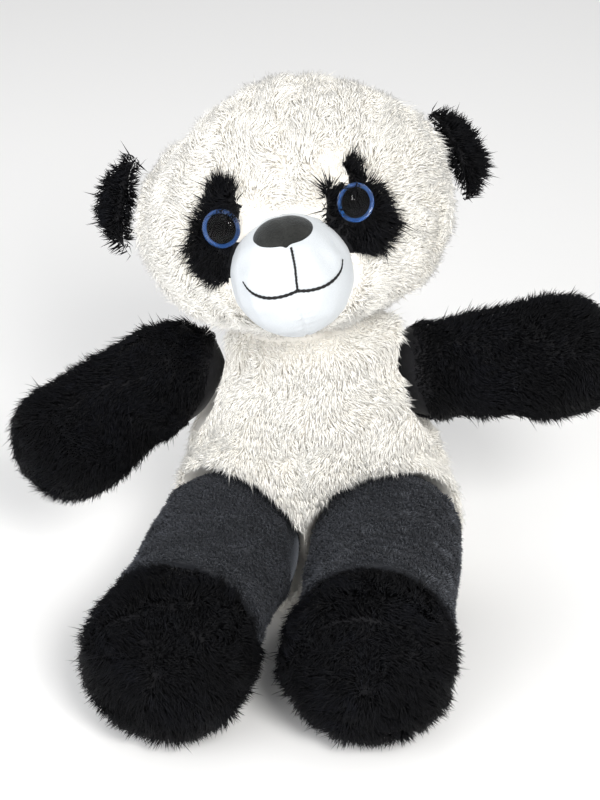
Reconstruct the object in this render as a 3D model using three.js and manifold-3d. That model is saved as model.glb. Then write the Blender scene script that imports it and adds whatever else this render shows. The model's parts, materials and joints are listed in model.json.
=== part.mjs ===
// A seated plush panda, sewn from fur-fabric panels round loose fibre filling.
// Millimetres, +Z up, the panda looks along -Y and its own left side is +X.
// The origin is the middle of the flat seat panel that it sits on.
import * as THREE from "three";
import { ConvexGeometry } from "three/addons/geometries/ConvexGeometry.js";
import { mergeVertices } from "three/addons/utils/BufferGeometryUtils.js";
import Module from "manifold-3d";

const wasm = await Module();
wasm.setup();

// ---------- Driving dimensions ----------

const SKIN = 4; // fur fabric: knitted backing and the pressed root of its pile
const SEAM = 0.5; // gap left between two panels that are sewn edge to edge
const FIT = 0.5; // gap between the filling and the skin round it
const RUN = 1.2; // gap round a limb's root, where the sewn joint flexes
const COARSE = 2; // what the flats of a coarse form fall short by
const FAR = 500; // past every side of the toy

const HEAD = { halfWidth: 80, depthShare: 0.84, crown: 64, chin: 66, aside: 4, segments: 20 };
const HEAD_CENTRE = new THREE.Vector3(0, -30, 77); // from the neck's pivot, in the head's own frame
const HEAD_REST = { pitch: -16, roll: -7, yaw: 5 }; // degrees: looks up and tips a little
const FACE_SLANT = -5; // degrees that the face is sewn on askew
const NECK = { pivot: new THREE.Vector3(0, -12, 140), radius: 36 };
const NECK_THREAD = { radius: 33, thick: 1.1, up: 12, groove: 0.5 }; // "up" from the neck's pivot
const NECK_TURN = 22; // degrees, each way
const NECK_NOD = { down: 8, up: 12 };

const MUZZLE = { aside: -3, sunk: 9.2, down: 25, radius: 30, reach: 36, cloth: 1.6 };
const MUZZLE_CENTRE = new THREE.Vector3(
  MUZZLE.aside,
  MUZZLE.sunk - HEAD.halfWidth * HEAD.depthShare, // "sunk" behind the head's front
  -MUZZLE.down,
);
const NOSE = { halfWidth: 13.5, height: 22, cloth: 0.9, lift: 0.4, tilt: 52 };
const STITCH = { radius: 0.75, lift: 0.35 }; // the mouth's thread, and its gap from the muzzle
const EYE = { radius: 9, dome: 7, irisIn: 6.5, disc: 0.8, proud: 1.5, turn: 22 };
const POST = { radius: 2.4, length: 17, flange: 8.4 };
const WASHER = { radius: 6.4, thick: 1.2, back: 7.4 }; // "back" from the inside of the fabric
const EYE_GAP = { left: -9.5, right: -7.5 }; // from the muzzle's edge to the eye's, less where it overhangs
const EYE_ASIDE = {
  left: MUZZLE.radius + EYE.radius + EYE_GAP.left,
  right: MUZZLE.radius + EYE.radius + EYE_GAP.right,
};
const EYE_UP = { left: 1, right: 3 };
const PATCH = { width: 31, height: 50, slant: 24, drop: 3 };
const EAR = { aside: 74, back: 12, up: 5, inset: 4, radius: 27, thick: 13, cloth: 4.5 };
const EAR_FOLD = 16; // degrees, each way

const TORSO = { halfWidth: 80, depthShare: 0.8, height: 182, aside: 6, back: 16, segments: 20 };
const TORSO_LEAN = -4 / 140; // to the panda's left for each unit up
const TORSO_SEAM = 6; // the side seam, behind the torso's middle
const SEAT = { halfWidth: 50, halfDepth: 25, cloth: 3 };

const ARM = { root: 31, paw: 38, pawAt: 62, length: 96, flat: 0.88, segments: 12 };
const SHOULDER = new THREE.Vector3(68, -16, 127);
const ARM_REST = { left: 6, right: -33 }; // degrees above level
const ARM_FORWARD = { left: 0, right: 16 }; // degrees that the arm points forward
const ARM_RANGE = { left: [-34, 20], right: [-4, 50] }; // degrees from rest, up is more

const LEG = { root: 38, wide: 41, ankle: 37, ankleAt: 78, length: 132, segments: 14 };
const FOOT = { radius: 45, at: 104, sole: 14 }; // the sole's seam is "sole" from the foot's end
const HIP = { left: new THREE.Vector3(44, -50, 45), right: new THREE.Vector3(-40, -50, 45) };
const LEG_YAW = { left: -8, right: -14 }; // degrees that the leg points to the panda's right
const LEG_RANGE = [-20, 22]; // degrees from rest, down is more

// ---------- Materials ----------

const cloth = (color, roughness = 0.95) => new THREE.MeshStandardMaterial({ color, roughness, metalness: 0 });
const WHITE_FUR = cloth(0xeeece4);
const BLACK_FUR = cloth(0x0b0c0f);
const GREY_PLUSH = cloth(0x34373d);
const WHITE_VELOUR = cloth(0xe9edf0, 0.85);
const BLACK_FELT = cloth(0x1b1c1c, 0.9);
const BLACK_THREAD = cloth(0x0a0a0a, 0.6);
const WHITE_THREAD = cloth(0xdedbd2, 0.7);
const FILLING = cloth(0xf4f4f2, 1);
const CLEAR_PLASTIC = cloth(0xcfd6da, 0.05);
const BLUE_PAINT = cloth(0x1b5fa8, 0.3);
const BLACK_PLASTIC = cloth(0x050506, 0.15);

// ---------- Geometry helpers ----------

const rad = THREE.MathUtils.degToRad;
const SIDES = { 1: "left", [-1]: "right" };
const HALVES = { over: "left", under: "right" }; // the halves of a solid across X

/** A closed geometry as a manifold-3d solid. */
function solid(geometry) {
  const bare = geometry.clone();
  bare.deleteAttribute("normal");
  bare.deleteAttribute("uv");
  const merged = mergeVertices(bare, 1e-3);
  const made = new wasm.Mesh({
    numProp: 3,
    vertProperties: merged.attributes.position.array,
    triVerts: new Uint32Array(merged.index.array),
  });
  return new wasm.Manifold(made);
}

/** A manifold-3d solid as a three.js geometry. */
function geometryOf(shape) {
  const got = shape.getMesh();
  const geometry = new THREE.BufferGeometry();
  geometry.setAttribute("position", new THREE.BufferAttribute(new Float32Array(got.vertProperties), 3));
  geometry.setIndex(new THREE.BufferAttribute(new Uint32Array(got.triVerts), 1));
  return geometry;
}

/** The largest body of a solid, without the slivers that a cut can leave. */
function mainBody(shape) {
  return shape.decompose().reduce((best, body) => (body.volume() > best.volume() ? body : best));
}

/** A named mesh of a solid. */
function piece(name, shape, material) {
  const mesh = new THREE.Mesh(geometryOf(mainBody(shape)), material);
  mesh.name = name;
  return mesh;
}

/** A body of revolution about Z through [radius, height] stations, from the lowest to the highest. */
function turned(stations, steps, segments) {
  const curve = new THREE.SplineCurve(stations.map(([r, z]) => new THREE.Vector2(r, z)));
  const points = curve.getSpacedPoints(steps).map((p) => new THREE.Vector2(Math.max(p.x, 0), p.y));
  points[0].x = stations[0][0];
  points.at(-1).x = stations.at(-1)[0];
  if (points[0].x > 0) points.unshift(new THREE.Vector2(0, points[0].y));
  if (points.at(-1).x > 0) points.push(new THREE.Vector2(0, points.at(-1).y));
  return new THREE.LatheGeometry(points, segments).rotateX(Math.PI / 2);
}

/** The geometry with its surface moved out by a distance, or in if that is less than 0. */
function grown(geometry, distance) {
  const bare = geometry.clone();
  bare.deleteAttribute("normal");
  bare.deleteAttribute("uv");
  const made = mergeVertices(bare, 1e-3);
  made.computeVertexNormals();
  const place = made.attributes.position;
  const normal = made.attributes.normal;
  for (let i = 0; i < place.count; i++) {
    const out = new THREE.Vector3().fromBufferAttribute(normal, i).multiplyScalar(distance);
    place.setXYZ(i, place.getX(i) + out.x, place.getY(i) + out.y, place.getZ(i) + out.z);
  }
  return made;
}

/** A box between two corners, as a solid. */
function block(low, high) {
  const size = high.map((h, i) => h - low[i]);
  const middle = high.map((h, i) => (h + low[i]) / 2);
  return solid(new THREE.BoxGeometry(...size).translate(...middle));
}

/** A ball, or with three radii an egg, as a geometry about the origin. */
function ball(rx, ry = rx, rz = rx, wide = 24, high = 16) {
  return new THREE.SphereGeometry(1, wide, high).rotateX(Math.PI / 2).scale(rx, ry, rz);
}

/** A copy of a geometry, turned about an axis through a point. */
function swung(geometry, pivot, axis, degrees) {
  const turn = new THREE.Matrix4().makeRotationAxis(axis, rad(degrees));
  const made = geometry.clone().translate(...pivot.clone().negate().toArray()).applyMatrix4(turn);
  return made.translate(...pivot.toArray());
}

/** The half of a solid on each side of a plane across one axis, with a seam's gap between them. */
function halves(shape, axis, at = 0) {
  const low = [-FAR, -FAR, -FAR];
  const high = [FAR, FAR, FAR];
  const over = low.map((v, i) => (i === axis ? at + SEAM / 2 : v));
  const under = high.map((v, i) => (i === axis ? at - SEAM / 2 : v));
  return { over: shape.intersect(block(over, high)), under: shape.intersect(block(low, under)) };
}

/** Points along a curve on the muzzle, given as [aside, up] from its middle, as seen from the front. */
function onMuzzle(route, lift) {
  return route.map(([x, z]) => {
    const r = MUZZLE.radius;
    const reach = (MUZZLE.reach + lift) * Math.sqrt(Math.max(0, 1 - (x * x + z * z) / (r * r)));
    const share = 1 + lift / r;
    return new THREE.Vector3(x * share, -reach, z * share);
  });
}

// ---------- Head ----------

/** The head's outer form, about its own middle: full low cheeks and a crown that rises to a soft peak. */
function headForm(steps = 10, segments = HEAD.segments) {
  const w = HEAD.halfWidth;
  const stations = [
    [0, -HEAD.chin],
    [0.48 * w, -0.93 * HEAD.chin],
    [0.84 * w, -0.71 * HEAD.chin],
    [0.98 * w, -0.38 * HEAD.chin],
    [w, -0.1 * HEAD.chin],
    [0.95 * w, 0.2 * HEAD.crown],
    [0.82 * w, 0.46 * HEAD.crown],
    [0.62 * w, 0.7 * HEAD.crown],
    [0.34 * w, 0.89 * HEAD.crown],
    [0, HEAD.crown],
  ];
  return turned(stations, steps, segments).scale(1, HEAD.depthShare, 1).translate(HEAD.aside, 0, 0);
}

/** An eye patch's outline for one side: a slanted drop, narrow at the top. */
function patchOutline(side, inset) {
  const w = PATCH.width - 2 * inset;
  const h = PATCH.height - 2 * inset;
  const shape = new THREE.Shape();
  shape.moveTo(0.02 * w, 0.54 * h);
  shape.bezierCurveTo(0.3 * w, 0.44 * h, 0.22 * w, 0.2 * h, 0.42 * w, 0.02 * h);
  shape.bezierCurveTo(0.62 * w, -0.2 * h, 0.5 * w, -0.44 * h, 0.12 * w, -0.47 * h);
  shape.bezierCurveTo(-0.3 * w, -0.5 * h, -0.5 * w, -0.22 * h, -0.46 * w, 0.04 * h);
  shape.bezierCurveTo(-0.42 * w, 0.24 * h, -0.16 * w, 0.3 * h, -0.14 * w, 0.46 * h);
  shape.bezierCurveTo(-0.12 * w, 0.54 * h, -0.04 * w, 0.57 * h, 0.02 * w, 0.54 * h);
  const cutter = new THREE.ExtrudeGeometry(shape, { depth: FAR / 2, bevelEnabled: false, curveSegments: 4 });
  // The outline stands in XZ and runs forward along -Y.
  cutter.rotateX(Math.PI / 2).rotateY(rad(-PATCH.slant / 2));
  if (side < 0) {
    cutter.scale(-1, 1, 1);
    turnInsideOut(cutter);
  }
  return cutter;
}

/** Reverses a geometry's faces, after a mirror. */
function turnInsideOut(geometry) {
  const place = geometry.attributes.position;
  for (let i = 0; i < place.count; i += 3) {
    const first = new THREE.Vector3().fromBufferAttribute(place, i);
    const last = new THREE.Vector3().fromBufferAttribute(place, i + 2);
    place.setXYZ(i, last.x, last.y, last.z);
    place.setXYZ(i + 2, first.x, first.y, first.z);
  }
}

/** Where the head's front stands at a place seen from the front, from the head's middle. */
function faceDepth(x, z) {
  const look = new THREE.Raycaster(new THREE.Vector3(x, -FAR, z), new THREE.Vector3(0, 1, 0));
  return look.intersectObject(new THREE.Mesh(headForm()))[0].point.y;
}

function muzzleForm(clear) {
  const r = MUZZLE.radius + clear;
  return ball(r, MUZZLE.reach + clear, r, 16, 10).translate(...MUZZLE_CENTRE.toArray());
}

/** A place on the face, as [aside, up], turned about the head's middle by the slant of the face. */
function slanted(x, z) {
  const s = rad(FACE_SLANT);
  return [x * Math.cos(s) + z * Math.sin(s), z * Math.cos(s) - x * Math.sin(s)];
}

/** Where an eye sits on the face, from the head's middle. */
function eyePlace(side) {
  const word = SIDES[side];
  const [x, z] = slanted(side * EYE_ASIDE[word], EYE_UP[word]);
  return new THREE.Vector3(x, faceDepth(x, z) - EYE.proud, z);
}

/** A flat ring or disc about Y, its top at a height. */
function disc(outer, inner, thick, top) {
  const shape = new THREE.Shape().absarc(0, 0, outer, 0, 2 * Math.PI);
  shape.holes.push(new THREE.Path().absarc(0, 0, inner, 0, 2 * Math.PI, true));
  const made = new THREE.ExtrudeGeometry(shape, { depth: thick, bevelEnabled: false, curveSegments: 8 });
  return made.rotateX(-Math.PI / 2).translate(0, top - thick, 0);
}

/** A body of revolution about Y through [radius, height] corners, from the lowest to the highest. */
function spun(corners, segments) {
  return new THREE.LatheGeometry(corners.map(([x, y]) => new THREE.Vector2(x, y)), segments);
}

/** The pieces of one eye, in the head's frame about its middle. */
function eyePieces(side) {
  const { radius: r, dome, irisIn, disc: thick } = EYE;
  const group = new THREE.Group();
  group.position.copy(eyePlace(side)).add(HEAD_CENTRE);
  group.rotation.z = rad(side * EYE.turn);
  const domed = [[0, 0.4], [r, 0.4], [r, 1.2], [0.8 * r, 0.62 * dome], [0.45 * r, 0.9 * dome], [0, dome]];
  const shaft = [
    [0, -POST.length],
    [POST.radius - 0.8, -POST.length],
    [POST.radius, -POST.length + 1.2],
    [POST.radius, -2],
    [POST.flange, -1.8],
    [POST.flange, -0.9],
    [0, -0.9],
  ];
  const pupil = new THREE.CylinderGeometry(irisIn - 0.2, irisIn - 0.2, thick, 16).translate(0, -thick / 2, 0);
  // The pieces are made about +Y, and the eye looks along -Y.
  const add = (geometry, name, material) => {
    const mesh = new THREE.Mesh(geometry, material);
    mesh.name = `eye_${SIDES[side]}_${name}`;
    mesh.rotation.x = Math.PI;
    group.add(mesh);
  };
  add(spun(domed, 14), "lens", CLEAR_PLASTIC);
  add(disc(r, irisIn + 0.1, thick, 0), "iris", BLUE_PAINT);
  add(pupil, "pupil", BLACK_PLASTIC);
  add(spun(shaft, 12).translate(0, -0.3, 0), "post", BLACK_PLASTIC);
  const behind = WASHER.thick - SKIN - WASHER.back;
  add(disc(WASHER.radius, POST.radius + 0.3, WASHER.thick, behind), "washer", BLACK_PLASTIC);
  return group;
}

/** The room that one eye's post and washer take behind the face, with the eye's own seat, as a solid. */
function eyeRoom(side) {
  const room = (radius, from, to, segments) => {
    const made = new THREE.CylinderGeometry(radius, radius, to - from, segments);
    made.translate(0, (from + to) / 2, 0);
    return solid(made.rotateZ(rad(side * EYE.turn)).translate(...eyePlace(side).toArray()));
  };
  const post = room(POST.radius + FIT, 0, 40, 10);
  const seat = room(EYE.radius + 0.6, -8.6, 3.4, 18);
  const lock = room(WASHER.radius + 0.6, SKIN + 5.6, SKIN + 19.6, 14);
  return { through: post.add(seat), inside: post.add(lock) };
}

/** How the head stands at rest. */
function headTurn() {
  return new THREE.Euler(rad(HEAD_REST.pitch), rad(HEAD_REST.roll), rad(HEAD_REST.yaw), "ZYX");
}

/** The neck's ball with room round it, as a solid about the head's middle. */
function neckRoom(clear) {
  const r = NECK.radius + clear;
  return solid(ball(r, r, r, 16, 10).translate(...HEAD_CENTRE.clone().negate().toArray()));
}

function buildHead() {
  const head = new THREE.Group();
  const outer = headForm();
  const inner = grown(outer, -SKIN);
  const bowl = neckRoom(RUN);
  const muzzleRoom = solid(muzzleForm(SEAM));
  const eyeRooms = [1, -1].map(eyeRoom);

  let shell = solid(outer).subtract(solid(inner)).subtract(bowl).subtract(muzzleRoom);
  for (const room of eyeRooms) shell = shell.subtract(room.through);
  shell = shell.subtract(noseOutline().intersect(solid(muzzleForm(NOSE.lift + NOSE.cloth + SEAM))));

  // The eye patches are let into the face, a seam's gap inside their openings.
  const patches = [1, -1].map((side) => {
    const word = SIDES[side];
    const outline = (inset) => {
      const made = patchOutline(side, inset).translate(side * EYE_ASIDE[word], 0, EYE_UP[word] - PATCH.drop);
      return solid(made.rotateY(rad(FACE_SLANT)));
    };
    return { word, opening: outline(0), patch: outline(SEAM) };
  });
  const face = patches.reduce((left, { opening }) => left.subtract(opening), shell);
  const front = halves(face, 1, EAR.back);
  for (const [half, word] of Object.entries(HALVES)) {
    head.add(piece(`face_${word}`, halves(front.under, 0)[half], WHITE_FUR));
    head.add(piece(`head_back_${word}`, halves(front.over, 0)[half], WHITE_FUR));
  }
  for (const { word, patch } of patches) {
    head.add(piece(`eye_patch_${word}`, shell.intersect(patch), BLACK_FUR));
  }

  let filling = solid(grown(outer, -SKIN - FIT)).subtract(neckRoom(RUN + SKIN));
  for (const room of eyeRooms) filling = filling.subtract(room.inside);
  head.add(piece("head_filling", filling, FILLING));

  // The muzzle is a round cover of smooth cloth in two halves, over its own filling.
  const muzzleOut = solid(muzzleForm(0));
  const muzzleIn = solid(grown(muzzleForm(0), -MUZZLE.cloth));
  const behind = solid(grown(outer, -SKIN - FIT));
  let velour = muzzleOut.subtract(muzzleIn).subtract(behind);
  for (const room of eyeRooms) velour = velour.subtract(room.through);
  const cover = halves(velour, 0);
  head.add(piece("muzzle_left", cover.over, WHITE_VELOUR));
  head.add(piece("muzzle_right", cover.under, WHITE_VELOUR));
  const pad = solid(grown(muzzleForm(0), -MUZZLE.cloth - FIT));
  head.add(piece("muzzle_filling", pad.subtract(behind), FILLING));

  head.add(piece("nose_patch", nosePatch(), BLACK_FELT));
  for (const [name, route] of Object.entries(mouthRoutes())) head.add(stitch(name, route));

  // What is made about the head's middle moves to the neck's pivot.
  for (const mesh of head.children) mesh.position.copy(HEAD_CENTRE);
  head.add(eyePieces(1), eyePieces(-1));
  addEars(head);
  head.position.copy(NECK.pivot);
  head.rotation.copy(headTurn());
  return head;
}

/** The nose's outline, arched above and pointed below, as a long solid through the muzzle's front. */
function noseOutline() {
  const { halfWidth: w, height: h } = NOSE;
  const shape = new THREE.Shape();
  shape.moveTo(0, -0.5 * h);
  shape.bezierCurveTo(0.4 * w, -0.48 * h, 0.95 * w, -0.42 * h, w, 0);
  shape.bezierCurveTo(w, 0.4 * h, 0.5 * w, 0.5 * h, 0, 0.5 * h);
  shape.bezierCurveTo(-0.5 * w, 0.5 * h, -w, 0.4 * h, -w, 0);
  shape.bezierCurveTo(-0.95 * w, -0.42 * h, -0.4 * w, -0.48 * h, 0, -0.5 * h);
  const prism = new THREE.ExtrudeGeometry(shape, { depth: FAR, bevelEnabled: false, curveSegments: 5 });
  prism.rotateX(Math.PI / 2).rotateX(rad(-NOSE.tilt));
  return solid(prism.rotateY(rad(FACE_SLANT)).translate(...MUZZLE_CENTRE.toArray()));
}

/** The nose: a felt patch that lies on the muzzle. */
function nosePatch() {
  const over = solid(muzzleForm(NOSE.lift + NOSE.cloth));
  return over.subtract(solid(muzzleForm(NOSE.lift))).intersect(noseOutline());
}

/** The three lines of the mouth, as [aside, up] on the muzzle. */
function mouthRoutes() {
  const half = [[1.6, -2.4], [7, -3.4], [13, -3], [18.5, -0.6], [22, 4.4]];
  const smile = (side) => half.map(([x, z]) => [side * x, z]);
  return {
    mouth_seam: [[0.8, 15.5], [1, 9], [0.6, 3], [0, -0.8]],
    mouth_left: smile(1),
    mouth_right: smile(-1),
  };
}

function stitch(name, route) {
  const path = new THREE.CatmullRomCurve3(onMuzzle(route, STITCH.radius + STITCH.lift));
  const section = new THREE.Shape().absarc(0, 0, STITCH.radius, 0, 2 * Math.PI);
  const options = { steps: 8, curveSegments: 2, bevelEnabled: false, extrudePath: path };
  const made = new THREE.ExtrudeGeometry(section, options).rotateY(rad(FACE_SLANT));
  return piece(name, solid(made.translate(...MUZZLE_CENTRE.toArray())), BLACK_THREAD);
}

/** Each ear is a front and a back panel, folded about the line where it is sewn to the head. */
function addEars(head) {
  const nearby = grown(headForm(8, 12), RUN + COARSE);
  for (const side of [1, -1]) {
    const word = SIDES[side];
    const middle = new THREE.Vector3(HEAD.aside + side * EAR.aside, EAR.back, EAR.up);
    const disc = (inset) => {
      const wide = EAR.radius - inset;
      return solid(ball(wide, EAR.thick / 2 - inset, wide, 16, 8).translate(-side * EAR.inset, 0, 0));
    };
    let ear = disc(0).subtract(disc(EAR.cloth));
    const folds = [-EAR_FOLD, 0, EAR_FOLD].map((degrees) => ({ axis: new THREE.Vector3(0, 0, 1), degrees }));
    ear = ear.subtract(solid(swept(nearby, middle, folds).translate(-middle.x, -middle.y, -middle.z)));
    const panels = halves(ear, 1);
    const group = new THREE.Group();
    group.add(piece(`ear_${word}_front`, panels.under, BLACK_FUR));
    group.add(piece(`ear_${word}_back`, panels.over, BLACK_FUR));
    group.position.copy(HEAD_CENTRE).add(middle);
    head.add(group);
  }
}

// ---------- Arms and legs ----------

/** An arm's form along +X from the shoulder: a round root, then a fuller paw. */
function armForm(steps = 8, segments = ARM.segments, clear = 0) {
  const { root, paw, pawAt, length } = ARM;
  const stations = [
    [0, -root],
    [0.7 * root, -0.71 * root],
    [root, 0],
    [root + 1, 0.42 * pawAt],
    [paw, pawAt],
    [0.9 * paw, 0.5 * (pawAt + length)],
    [0.55 * paw, length - 4],
    [0, length],
  ];
  const form = turned(stations, steps, segments).scale(1, ARM.flat, 1).rotateY(Math.PI / 2);
  return clear ? grown(form, clear) : form;
}

/** Where an arm hangs: its pivot, its hinge axis, and the turn that puts +X along it. */
function armPlace(word) {
  const side = word === "left" ? 1 : -1;
  const facing = side > 0 ? 0 : 180;
  const forward = rad(facing - side * ARM_FORWARD[word]);
  const turn = new THREE.Euler(0, rad(-ARM_REST[word]), forward, "ZYX");
  const axis = new THREE.Vector3(0, -1, 0).applyAxisAngle(new THREE.Vector3(0, 0, 1), forward);
  return { pivot: new THREE.Vector3(side * SHOULDER.x, SHOULDER.y, SHOULDER.z), turn, axis };
}

function buildArm(word) {
  const arm = new THREE.Group();
  const outer = armForm();
  const shell = solid(outer).subtract(solid(grown(outer, -SKIN)));
  const panels = halves(shell, 1);
  arm.add(piece(`arm_${word}_front`, word === "left" ? panels.under : panels.over, BLACK_FUR));
  arm.add(piece(`arm_${word}_back`, word === "left" ? panels.over : panels.under, BLACK_FUR));
  arm.add(piece(`arm_${word}_filling`, solid(grown(outer, -SKIN - FIT)), FILLING));
  const place = armPlace(word);
  arm.position.copy(place.pivot);
  arm.rotation.copy(place.turn);
  return arm;
}

/** A leg's form along -Y from the hip, without its foot. */
function legForm(steps = 7, segments = LEG.segments, clear = 0) {
  const { root, ankle, ankleAt, wide } = LEG;
  const stations = [
    [0, -root],
    [0.7 * root, -0.71 * root],
    [root, 0],
    [0.98 * root, 0.5 * ankleAt],
    [ankle, ankleAt],
    [0.8 * ankle, FOOT.at - 8],
    [0, FOOT.at - 4],
  ];
  const form = turned(stations, steps, segments).rotateX(Math.PI / 2).scale(wide / root, 1, 1);
  return clear ? grown(form, clear) : form;
}

/** The foot's form about the same line: a fat round cushion that ends in the sole. */
function footForm() {
  const { length, ankle, ankleAt } = LEG;
  const { radius: foot, at } = FOOT;
  const stations = [
    [0, ankleAt - 12],
    [0.8 * ankle, ankleAt - 8],
    [0.93 * foot, ankleAt + 6],
    [foot, at],
    [0.93 * foot, length - 12],
    [0.66 * foot, length - 3],
    [0, length],
  ];
  return turned(stations, 8, LEG.segments).rotateX(Math.PI / 2);
}

function legPlace(word) {
  const turn = new THREE.Euler(0, 0, rad(LEG_YAW[word]));
  const axis = new THREE.Vector3(1, 0, 0).applyEuler(turn);
  return { pivot: HIP[word], turn, axis };
}

function buildLeg(word) {
  const leg = new THREE.Group();
  const thigh = legForm();
  const foot = footForm();
  const footSolid = solid(foot);
  const footRoom = solid(grown(foot, SEAM));
  const shell = solid(thigh).subtract(solid(grown(thigh, -SKIN))).subtract(footRoom);
  const panels = halves(shell, 2);
  leg.add(piece(`leg_${word}_top`, panels.over, GREY_PLUSH));
  leg.add(piece(`leg_${word}_under`, panels.under, GREY_PLUSH));
  leg.add(piece(`leg_${word}_filling`, solid(grown(thigh, -SKIN - FIT)).subtract(footRoom), FILLING));
  const cap = footSolid.subtract(solid(grown(foot, -SKIN)));
  const parts = halves(cap, 1, FOOT.sole - LEG.length);
  leg.add(piece(`foot_${word}_upper`, parts.over, BLACK_FUR));
  leg.add(piece(`foot_${word}_sole`, parts.under, BLACK_FUR));
  leg.add(piece(`foot_${word}_filling`, solid(grown(foot, -SKIN - FIT)), FILLING));
  const place = legPlace(word);
  leg.position.copy(place.pivot);
  leg.rotation.copy(place.turn);
  return leg;
}

// ---------- Torso ----------

/** The torso's outer form: wide at the seat, narrow at the neck, with a flat base. */
function torsoForm() {
  const w = TORSO.halfWidth;
  const stations = [
    [0.72 * w, 0],
    [0.92 * w, 9],
    [w, 34],
    [0.96 * w, 60],
    [0.86 * w, 86],
    [0.76 * w, 110],
    [0.66 * w, 130],
    [0.58 * w, 150],
    [0.46 * w, 168],
    [0, TORSO.height],
  ];
  const form = turned(stations, 9, TORSO.segments).scale(1, TORSO.depthShare, 1);
  const lean = new THREE.Matrix4().makeShear(0, 0, 0, 0, 0, TORSO_LEAN);
  return form.applyMatrix4(lean).translate(TORSO.aside, -TORSO.back, 0);
}

/** The room that a form takes as it turns over a range, as a convex geometry. */
function swept(form, pivot, swings) {
  const points = [];
  for (const { axis, degrees } of swings) {
    const place = swung(form, pivot, axis, degrees).attributes.position;
    for (let i = 0; i < place.count; i++) points.push(new THREE.Vector3().fromBufferAttribute(place, i));
  }
  return new ConvexGeometry(points);
}

/** The room that a limb takes over its range. */
function limbRoom(form, place, range) {
  const rest = form.clone().applyMatrix4(new THREE.Matrix4().makeRotationFromEuler(place.turn));
  rest.translate(place.pivot.x, place.pivot.y, place.pivot.z);
  const [low, high] = range;
  const swings = [low, (low + high) / 2, high].map((degrees) => ({ axis: place.axis, degrees }));
  return solid(swept(rest, place.pivot, swings));
}

/** The room that the head takes over its range, without the ball of the neck. */
function headRoom(clear) {
  const rest = new THREE.Matrix4().makeRotationFromEuler(headTurn());
  const form = grown(headForm(8, 16), clear + COARSE).translate(...HEAD_CENTRE.toArray()).applyMatrix4(rest);
  form.translate(...NECK.pivot.toArray());
  const nod = new THREE.Vector3(1, 0, 0);
  const turn = new THREE.Vector3(0, 0, 1);
  const positions = [NECK_NOD.down, 0, -NECK_NOD.up].flatMap((tip) => {
    const nodded = swung(form, NECK.pivot, nod, tip);
    return [-NECK_TURN, 0, NECK_TURN].map((degrees) => swung(nodded, NECK.pivot, turn, degrees));
  });
  const points = positions.flatMap(({ attributes: { position } }) =>
    Array.from({ length: position.count }, (_, i) => new THREE.Vector3().fromBufferAttribute(position, i)),
  );
  return solid(new ConvexGeometry(points)).subtract(neckBall(NECK.radius - clear + RUN));
}

function buildTorso() {
  const torso = new THREE.Group();
  const outer = torsoForm();
  const limbs = ["left", "right"].flatMap((word) => [
    limbRoom(armForm(8, ARM.segments, RUN), armPlace(word), ARM_RANGE[word]),
    limbRoom(legForm(7, LEG.segments, RUN), legPlace(word), LEG_RANGE),
  ]);
  const within = (inset) => solid(grown(outer, -inset)).subtract(headRoom(RUN + inset));
  const clearOfLimbs = (shape) => limbs.reduce((left, room) => left.subtract(room), shape);
  const shell = clearOfLimbs(within(0).subtract(within(SKIN))).subtract(seatForm(SEAT.cloth + SEAM, SEAM));
  const front = halves(shell.subtract(neckGroove()), 1, TORSO_SEAM - TORSO.back);
  for (const [half, word] of Object.entries(HALVES)) {
    torso.add(piece(`belly_${word}`, halves(front.under, 0)[half], WHITE_FUR));
    torso.add(piece(`back_${word}`, halves(front.over, 0)[half], WHITE_FUR));
  }
  torso.add(piece("seat_panel", clearOfLimbs(seatForm(SEAT.cloth, 0)), WHITE_FUR));
  const stuffed = clearOfLimbs(within(SKIN + FIT)).subtract(neckGroove(FIT));
  const filling = stuffed.subtract(seatForm(SEAT.cloth + FIT + SEAM, SEAM));
  torso.add(piece("torso_filling", filling, FILLING));
  return torso;
}

/** The flat oval that the toy sits on. */
function seatForm(high, clear) {
  const oval = new THREE.CylinderGeometry(1, 1, high + clear, 40).rotateX(Math.PI / 2);
  oval.scale(SEAT.halfWidth + clear, SEAT.halfDepth + clear, 1);
  return solid(oval.translate(0, 0, (high - clear) / 2));
}

/** A ball about the neck's pivot, as a solid: the torso's top, which the head turns on. */
function neckBall(radius) {
  return solid(ball(radius, radius, radius, 16, 10).translate(...NECK.pivot.toArray()));
}

/** The groove round the neck in which its drawn thread lies. */
function neckGroove(clear = 0) {
  const { radius, thick, groove } = NECK_THREAD;
  const ring = new THREE.TorusGeometry(radius, thick + groove + clear, 6, 24);
  return solid(ring.translate(NECK.pivot.x, NECK.pivot.y, NECK.pivot.z + NECK_THREAD.up));
}

function buildNeck() {
  const neck = new THREE.Group();
  const ring = new THREE.TorusGeometry(NECK_THREAD.radius, NECK_THREAD.thick, 6, 24);
  const thread = piece("neck_thread", solid(ring), WHITE_THREAD);
  thread.position.set(NECK.pivot.x, NECK.pivot.y, NECK.pivot.z + NECK_THREAD.up);
  neck.add(thread);
  return neck;
}

const panda = new THREE.Group();
panda.add(buildTorso(), buildNeck(), buildHead());
for (const word of ["left", "right"]) panda.add(buildArm(word), buildLeg(word));

export default panda;
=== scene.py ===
"""A seated plush panda: stuffed skins under combed fur, a velour muzzle, safety eyes and sewn features.

Metres, +Z up. The panda looks along -Y and its own left side is +X.
"""

import json
import logging
import math
from dataclasses import dataclass, field
from enum import Enum

import bmesh
import bpy
import numpy as np
from mathutils import Matrix, Vector
from mathutils.bvhtree import BVHTree
from mathutils.kdtree import KDTree

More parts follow.
